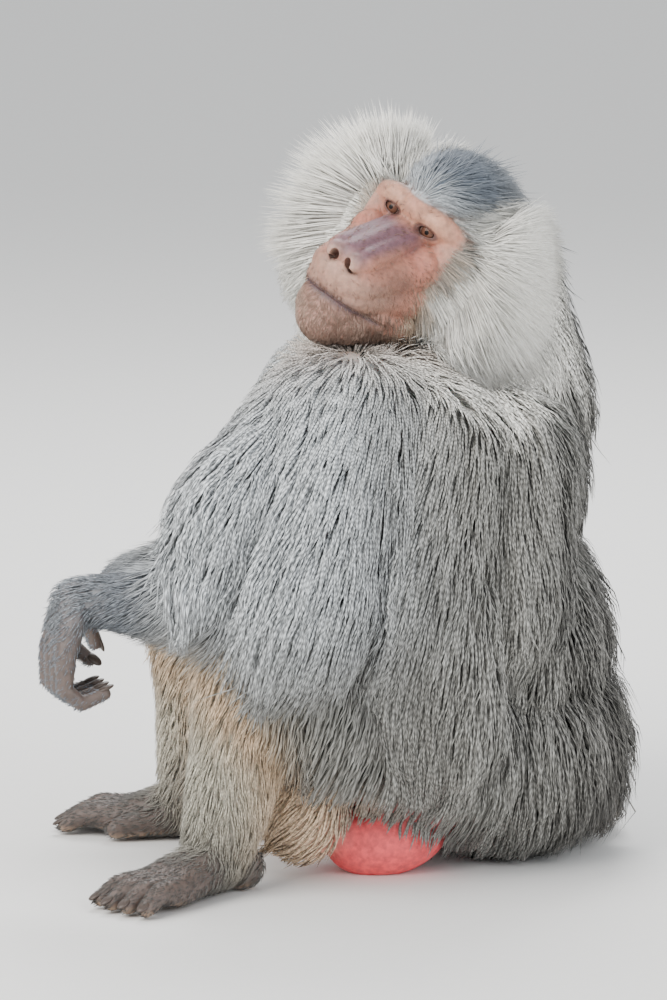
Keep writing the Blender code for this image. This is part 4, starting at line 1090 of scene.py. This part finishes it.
def makeTuftTree():
    tree, given, outlet = addGroup("growTufts", "GeometryNodeTree", (
        ("Geometry", "Geometry", None), ("Body", "Object", None), ("Tuft", "Object", None),
        ("Material", "Material", None), ("Density", "Float", 50000.0), ("Seed", "Int", 1),
        ("Width", "Float", 0.003), ("Thickness", "Float", 0.0008), ("Length", "Float", 1.0),
        ("Clump", "Float", 0.26), ("Clump Size", "Float", 0.020), ("Waves", "Float", 0.02),
        ("Spread", "Float", 0.17), ("Sink", "Float", 0.002), ("Patch", "Float", 0.003),
    ), (("Geometry", "Geometry"),))

    def number(operation, *values):
        return addNumber(tree, operation, *values)

    def times(first, *others):
        for other in others:
            first = addNumber(tree, "MULTIPLY", first, other)
        return first

    def vector(operation, *values):
        found = addNode(tree, "ShaderNodeVectorMath", dict(enumerate(values)), operation=operation)
        return found["Value" if operation == "DOT_PRODUCT" else "Vector"]

    def scale(value, factor):
        return addScaled(tree, value, factor)

    def attribute(name, kind="FLOAT_VECTOR"):
        return addNode(tree, "GeometryNodeInputNamedAttribute", {"Name": name}, data_type=kind)["Attribute"]

    def amount(name):
        return attribute(name, "FLOAT")

    def keep(geometry, name, value, kind="FLOAT_VECTOR", domain="POINT"):
        inputs = {"Geometry": geometry, "Name": name, "Value": value}
        return addNode(tree, "GeometryNodeStoreNamedAttribute", inputs, data_type=kind, domain=domain)[0]

    def chances(seed):
        inputs = {"Seed": number("ADD", given["Seed"], seed)}
        return addNode(tree, "FunctionNodeRandomValue", inputs, data_type="FLOAT_VECTOR")[0]

    # Roots on the skin
    here = addNode(tree, "GeometryNodeInputPosition")[0]
    density = times(given["Density"], amount("cover"))
    spread = {"Mesh": given["Geometry"], "Density": density, "Seed": given["Seed"]}
    flow = addNode(tree, "GeometryNodeDistributePointsOnFaces", spread)["Points"]
    for name, value in (("root", here), ("chance", chances(11)), ("stray", chances(23))):
        flow = keep(flow, name, value)
    shape = addNode(tree, "GeometryNodeObjectInfo", {"Object": given["Tuft"]})["Geometry"]
    flow = addNode(tree, "GeometryNodeInstanceOnPoints", {"Points": flow, "Instance": shape})["Instances"]
    flow = addNode(tree, "GeometryNodeRealizeInstances", {"Geometry": flow})["Geometry"]

    # The path of each tuft
    root, outward, lie = [attribute(name) for name in ("root", "outward", "lie")]
    chance, stray = attribute("chance"), attribute("stray")
    across, along, rise, stand = [amount(name) for name in ("across", "along", "rise", "stand")]
    first, second, third = addParts(tree, chance)
    left, squared = number("SUBTRACT", 1.0, along), times(along, along)
    length = times(amount("length"), given["Length"], number("MULTIPLY_ADD", first, 0.34, 0.70))
    start = vector("ADD", scale(lie, number("SUBTRACT", 1.0, stand)), scale(outward, stand))
    start = vector("NORMALIZE", start)
    drop = addVector(tree, 0.0, 0.0, times(amount("droop"), -1.0))
    loose = number("GREATER_THAN", addParts(tree, stray)[2], 0.94)
    jitter = times(given["Spread"], number("MULTIPLY_ADD", loose, 3.0, 2.0))
    jitter = scale(vector("SUBTRACT", stray, (0.5, 0.5, 0.5)), jitter)
    end = vector("NORMALIZE", vector("ADD", vector("ADD", lie, drop), jitter))
    turning = vector("SUBTRACT", end, start)
    path = vector("ADD", scale(start, along), scale(turning, times(squared, 0.5)))
    path = vector("ADD", root, scale(path, length))
    path = vector("SUBTRACT", path, scale(outward, times(given["Sink"], left)))
    side = vector("NORMALIZE", vector("CROSS_PRODUCT", start, outward))
    cellSize = number("DIVIDE", 1.0, given["Clump Size"])
    cells = addNode(tree, "ShaderNodeTexVoronoi", {"Vector": root, "Scale": cellSize})
    toCell = vector("SUBTRACT", cells["Position"], root)
    for way in (lie, outward):
        toCell = vector("SUBTRACT", toCell, scale(way, vector("DOT_PRODUCT", toCell, way)))
    path = vector("ADD", path, scale(toCell, times(squared, given["Clump"])))
    wave = number("SINE", times(number("ADD", times(along, 1.3), third), 6.2832))
    path = vector("ADD", path, scale(side, times(wave, times(along, length), given["Waves"])))

    # Keeps the path over the body
    body = addNode(tree, "GeometryNodeObjectInfo", {"Object": given["Body"]})["Geometry"]

    def nearest(value, sample):
        inputs = {"Mesh": body, "Value": value, "Sample Position": sample}
        return addNode(tree, "GeometryNodeSampleNearestSurface", inputs, data_type="FLOAT_VECTOR")["Value"]

    above = vector("NORMALIZE", nearest(attribute("outward"), path))
    height = vector("DOT_PRODUCT", vector("SUBTRACT", path, nearest(here, path)), above)
    lift = times(amount("lift"), number("MULTIPLY_ADD", second, 0.34, 0.70))
    risen = number("SUBTRACT", 1.0, number("POWER", left, 2.0))
    wanted = number("MULTIPLY_ADD", lift, risen, times(given["Sink"], number("SUBTRACT", along, 1.0)))
    push = number("MAXIMUM", number("SUBTRACT", wanted, height), 0.0)
    over = number("MAXIMUM", number("SUBTRACT", height, times(wanted, 1.05)), 0.0)
    pull = times(over, times(amount("hug"), number("SUBTRACT", 1.0, loose)))
    path = vector("ADD", path, scale(above, number("SUBTRACT", push, pull)))

    # The flat of the tuft, rolled a little
    way = vector("NORMALIZE", vector("ADD", start, scale(turning, along)))
    flat = vector("NORMALIZE", vector("CROSS_PRODUCT", way, above))
    ridge = vector("CROSS_PRODUCT", flat, way)
    roll = times(number("SUBTRACT", third, 0.5), 0.8)
    cosine, sine = number("COSINE", roll), number("SINE", roll)
    turned = vector("ADD", scale(flat, cosine), scale(ridge, sine))
    raised = vector("SUBTRACT", scale(ridge, cosine), scale(flat, sine))
    wide = times(given["Width"], amount("width"), number("MULTIPLY_ADD", third, 0.6, 0.7))
    path = vector("ADD", path, scale(turned, times(across, wide)))
    path = vector("ADD", path, scale(raised, times(rise, given["Thickness"])))
    x, y, z = addParts(tree, path)
    settled = addVector(tree, x, y, number("MAXIMUM", z, number("MULTIPLY_ADD", second, 0.006, 0.0004)))
    flow = addNode(tree, "GeometryNodeSetPosition", {"Geometry": flow, "Position": settled})["Geometry"]

    # What the materials read, and each tuft's patch at its root's place on the unwrap
    spot = scale(addVector(tree, across, along), given["Patch"])
    flow = keep(flow, "OFBake", vector("ADD", attribute("rootUv"), spot), "FLOAT2", "CORNER")
    # the distance from the middle of the tuft's clump, which the hair material turns into painted shade
    flow = keep(flow, "valley", cells["Distance"], "FLOAT")
    flow = keep(flow, "strand", addVector(tree, across, along, first))
    flow = keep(flow, "above", above)
    flow = addNode(tree, "GeometryNodeSetShadeSmooth", {"Geometry": flow})["Geometry"]
    flow = addNode(tree, "GeometryNodeSetMaterial", {"Geometry": flow, "Material": given["Material"]})
    setInputs(tree, outlet, {"Geometry": flow["Geometry"]})
    return tree


tuftTree = makeTuftTree()
identifiers = {item.name: item.identifier for item in tuftTree.interface.items_tree if item.in_out == "INPUT"}
guideTriangles = 45000


def makeGuide():
    guide = addObject("guide", skin.data.copy())
    guide.data.materials.clear()
    thinOut(guide, guideTriangles)
    guide.hide_render = True
    return guide


guide = makeGuide()
guideLie, guideSizes, guideTone, _, guideZones, guideWeight = markCoat(guide.data)
store(guide.data, "outward", "FLOAT_VECTOR", normals(guide.data))
store(guide.data, "lie", "FLOAT_VECTOR", unit(guideLie))
storeTone(guide.data, "coatTone", guideTone)
for name in (*coatNames, "faceCover"):
    store(guide.data, name, "FLOAT", guideSizes[name], "value")
print("guide is marked")

# tufts, width, thickness, shape, material, half of its zones and the zones of each piece
coatPieces = {
    "coatRuffLeft": (19000, 0.0016, 0.0008, "short", "ruffHair", None, "ruffLeft"),
    "coatRuffRight": (13500, 0.0016, 0.0008, "short", "ruffHair", None, "ruffRight"),
    "coatHead": (11500, 0.0016, 0.0007, "short", "ruffHair", "front", "hood", "head", "neck"),
    "coatFace": (5500, 0.0016, 0.0007, "short", "ruffHair", "front", "head"),
    "coatNape": (6500, 0.0019, 0.0009, "long", "crownHair", "back", "hood", "head", "neck"),
    "coatChest": (7000, 0.0029, 0.0006, "long", "mantleHair", "front", "chest", "nape", "shoulders", "belly"),
    "coatBack": (8600, 0.0030, 0.0006, "long", "mantleHair", "back", "chest", "nape", "shoulders"),
    "coatRump": (7600, 0.0030, 0.0006, "long", "mantleHair", "back", "belly", "rump"),
    "coatArmLeft": (9800, 0.0028, 0.0006, "long", "mantleHair", None, "upperArmLeft"),
    "coatArmRight": (5000, 0.0030, 0.0006, "long", "mantleHair", None, "upperArmRight"),
    "coatForearms": (
        7000, 0.0019, 0.0008, "short", "armHair", None,
        "forearmLeft", "forearmRight", "handLeft", "handRight",
    ),
    "coatThighs": (6200, 0.0028, 0.0006, "long", "legHair", None, "thighLeft", "thighRight"),
    "coatShanks": (
        9500, 0.0019, 0.0008, "short", "legHair", None,
        "shankLeft", "shankRight", "footLeft", "footRight",
    ),
    "coatTail": (2200, 0.0020, 0.0008, "short", "mantleHair", None, "tail"),
}
coatSplit = {"head": -0.020, "body": 0.020}  # where the front of the head and of the body ends
firstSeed, seedStep = 31, 7
rootDepth = {"coatFace": 0.0004, "other": 0.002}


def partOfGuide(name, wanted, half):
    # The faces of the guide whose strongest zone is wanted, unwrapped on their own.
    nearest = guideWeight.argmax(axis=1)
    chosen = np.isin(nearest, [guideZones.index(zone) for zone in wanted])
    points = places(guide.data)
    ahead = inHead(points)[0] > coatSplit["head"] if "neck" in wanted else points[:, 1] < coatSplit["body"]
    if half is not None:
        chosen &= ahead == (half == "front")
    part = addObject(name + "Ground", guide.data.copy())
    body = bmesh.new()
    body.from_mesh(part.data)
    body.faces.ensure_lookup_table()
    stray = [face for face in body.faces if not chosen[face.verts[0].index]]
    bmesh.ops.delete(body, geom=stray, context="FACES")
    body.to_mesh(part.data)
    body.free()
    bpy.ops.object.select_all(action="DESELECT")
    bpy.context.view_layer.objects.active = part
    part.select_set(True)
    part.data.uv_layers.new(name="rootUv")
    bpy.ops.object.mode_set(mode="EDIT")
    bpy.ops.mesh.select_all(action="SELECT")
    bpy.ops.uv.smart_project(angle_limit=math.radians(66), island_margin=0.004)
    bpy.ops.object.mode_set(mode="OBJECT")
    return part


def readStored(mesh, name):
    return np.array([value.value for value in mesh.attributes[name].data])


def growCoat(name, seed):
    count, width, thickness, shape, material, half, *wanted = coatPieces[name]
    part = partOfGuide(name, wanted, half)
    if name == "coatFace":
        store(part.data, "cover", "FLOAT", readStored(part.data, "faceCover"), "value")
    cover = readStored(part.data, "cover")
    covered = sum(face.area * np.mean([cover[k] for k in face.vertices]) for face in part.data.polygons)
    modifier = addModifier(part, "NODES", node_group=tuftTree)
    for label, value in (
        ("Body", guide), ("Tuft", longTuft if shape == "long" else shortTuft),
        ("Material", hairMaterials[material]), ("Density", float(count / covered)), ("Seed", seed),
        ("Width", width), ("Thickness", thickness), ("Sink", rootDepth.get(name, rootDepth["other"])),
    ):
        modifier[identifiers[label]] = value
    applyModifiers(part)
    coatPiece = addObject(name, part.data.copy())
    removePiece(part)
    stored = coatPiece.data.attributes
    helpers = ("root", "chance", "stray", "outward", "lie", "across", "along", "rise", "rootUv", "skinTone")
    for label in [one.name for one in stored if one.name in (*helpers, *coatNames, "faceCover")]:
        stored.remove(stored[label])
    return coatPiece


coatMade = []
for place, name in enumerate(coatPieces):
    coatPiece = growCoat(name, firstSeed + place * seedStep)
    coatMade.append(coatPiece)
    print(name, triangles(coatPiece), "triangles")
print("coat", sum(triangles(piece) for piece in coatMade), "triangles, skin", triangles(skin))


# Eyes

eyeLook = {
    "iris": (0.11, 0.048, 0.030), "rim": (0.03, 0.016, 0.014), "white": (0.22, 0.13, 0.11),
    "pupil": (0.005, 0.004, 0.004), "irisAngle": 34.0, "pupilAngle": 10.0, "bulge": 0.05, "gap": 0.0003,
    "gaze": (1.0, -0.10, 0.10), "roughness": 0.35, "specular": 0.12, "coat": 0.22, "coatRoughness": 0.05,
}


def makeEyeMaterial():
    material, tree, shader = addMaterial("eyeball")
    gaze = addStored(tree, "gaze")
    stretched = addNode(tree, "ShaderNodeVectorMath", {0: gaze, 1: (9.0, 9.0, 0.03)}, operation="MULTIPLY")[0]
    rays = addNode(tree, "ShaderNodeTexNoise", {"Vector": stretched, "Scale": 1.0, "Detail": 3.0})["Fac"]
    ramp = tree.nodes.new("ShaderNodeValToRGB")
    irisEdge, pupilEdge = eyeLook["irisAngle"] / 90, eyeLook["pupilAngle"] / 90
    stops = (
        (0.0, "pupil", 1.0), (pupilEdge, "pupil", 1.0), (pupilEdge + 0.015, "iris", 1.2),
        (irisEdge - 0.06, "iris", 1.0), (irisEdge, "rim", 1.0), (irisEdge + 0.05, "white", 1.0),
        (1.0, "white", 0.5),
    )
    elements = ramp.color_ramp.elements
    for place, (share, name, strength) in enumerate(stops):
        element = elements[place] if place < 2 else elements.new(share)
        element.position = share
        element.color = (*[c * strength for c in eyeLook[name]], 1)
    setInputs(tree, ramp, {"Fac": addParts(tree, gaze)[2]})
    span = {"Value": rays, "From Min": 0.3, "From Max": 0.7, "To Min": 0.65, "To Max": 1.35}
    fleck = addNode(tree, "ShaderNodeMapRange", span)["Result"]
    setInputs(tree, shader, {
        "Base Color": addScaled(tree, ramp.outputs["Color"], fleck), "Roughness": eyeLook["roughness"],
        "Specular IOR Level": eyeLook["specular"], "Coat Weight": eyeLook["coat"],
        "Coat Roughness": eyeLook["coatRoughness"],
    })
    return material


def makeEye(name, side, material):
    # The gaze runs along the ball's own Z. The cornea stands a little proud of it.
    forward, up, left = eyeLook["gaze"]
    gaze = headDirection(forward, up, side * left).normalized()
    body = bmesh.new()
    bmesh.ops.create_uvsphere(body, u_segments=48, v_segments=40, radius=1.0)
    eye = pieceFrom(name, body)
    points = places(eye.data)
    angle = np.arccos(np.clip(points[:, 2], -1, 1))
    swirl = np.arctan2(points[:, 1], points[:, 0])
    ways = np.stack([np.cos(swirl), np.sin(swirl), angle / (math.pi / 2)], axis=1)
    store(eye.data, "gaze", "FLOAT_VECTOR", ways)
    bulge = 1 + eyeLook["bulge"] * np.clip(1 - (angle / math.radians(eyeLook["irisAngle"] + 6)) ** 2, 0, 1)
    setPlaces(eye.data, points * bulge[:, None] * (head["eyeRadius"] - eyeLook["gap"]))
    turn = gaze.to_track_quat("Z", "Y").to_matrix().to_4x4()
    eye.data.transform(Matrix.Translation(eyeCentre(side)) @ turn)
    eye.data.materials.append(material)
    eye.data.shade_smooth()
    return eye


eyeMaterial = makeEyeMaterial()
eyes = [makeEye("eyeLeft", 1, eyeMaterial), makeEye("eyeRight", -1, eyeMaterial)]
print("eyes made")


# Nails

nailLook = {
    "length": 0.0085, "width": 0.0050, "height": 0.0022, "colour": (0.045, 0.032, 0.026), "grain": 400.0,
    "roughness": 0.38,
}


def makeNails():
    body = bmesh.new()
    for points, radius in digits:
        tip, ahead = points[-1], (points[-1] - points[-2]).normalized()
        upper = (points[-2] - points[-3]).cross(ahead).cross(ahead)
        upper = upper.normalized() if upper.length > 1e-6 else Vector((0, 0, 1))
        if points[0].z < 0.1 and upper.z < 0:
            upper = -upper
        across = ahead.cross(upper).normalized()
        upper = across.cross(ahead)
        axes = Matrix((across, ahead, upper)).transposed()
        centre = tip + upper * radius * 0.72 + ahead * radius * 0.35
        addBall(body, centre, (nailLook["width"], nailLook["length"], nailLook["height"]), axes, detail=3)
    nails = pieceFrom("nails", body)
    material, tree, shader = addMaterial("nailHorn")
    colour = addGrain(tree, nailLook["grain"], nailLook["colour"], 0.6, 2.2)
    setInputs(tree, shader, {"Base Color": colour, "Roughness": nailLook["roughness"]})
    nails.data.materials.append(material)
    nails.data.shade_smooth()
    return nails


nails = makeNails()


# Everything goes to the solids' place and takes their nodes over

for helper in (guide, longTuft, shortTuft):
    removePiece(helper)
for piece in (skin, *coatMade, *eyes, nails):
    piece.data.transform(toFrame)
    piece.data.update()
    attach(piece, "root")
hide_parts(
    "head", "ear_left", "ear_right", "neck", "chest", "rump", "upper_arm_left", "upper_arm_right",
    "forearm_left", "forearm_right", "hand_left", "hand_right", "thigh_left", "thigh_right", "shank_left",
    "shank_right", "foot_left", "foot_right", "pad_left", "pad_right", "tail_base", "tail_middle", "tail_tip",
)
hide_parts("ruff_left")
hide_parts("ruff_right")
for eye, node in zip(eyes, ("eye_left", "eye_right")):
    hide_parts(node)
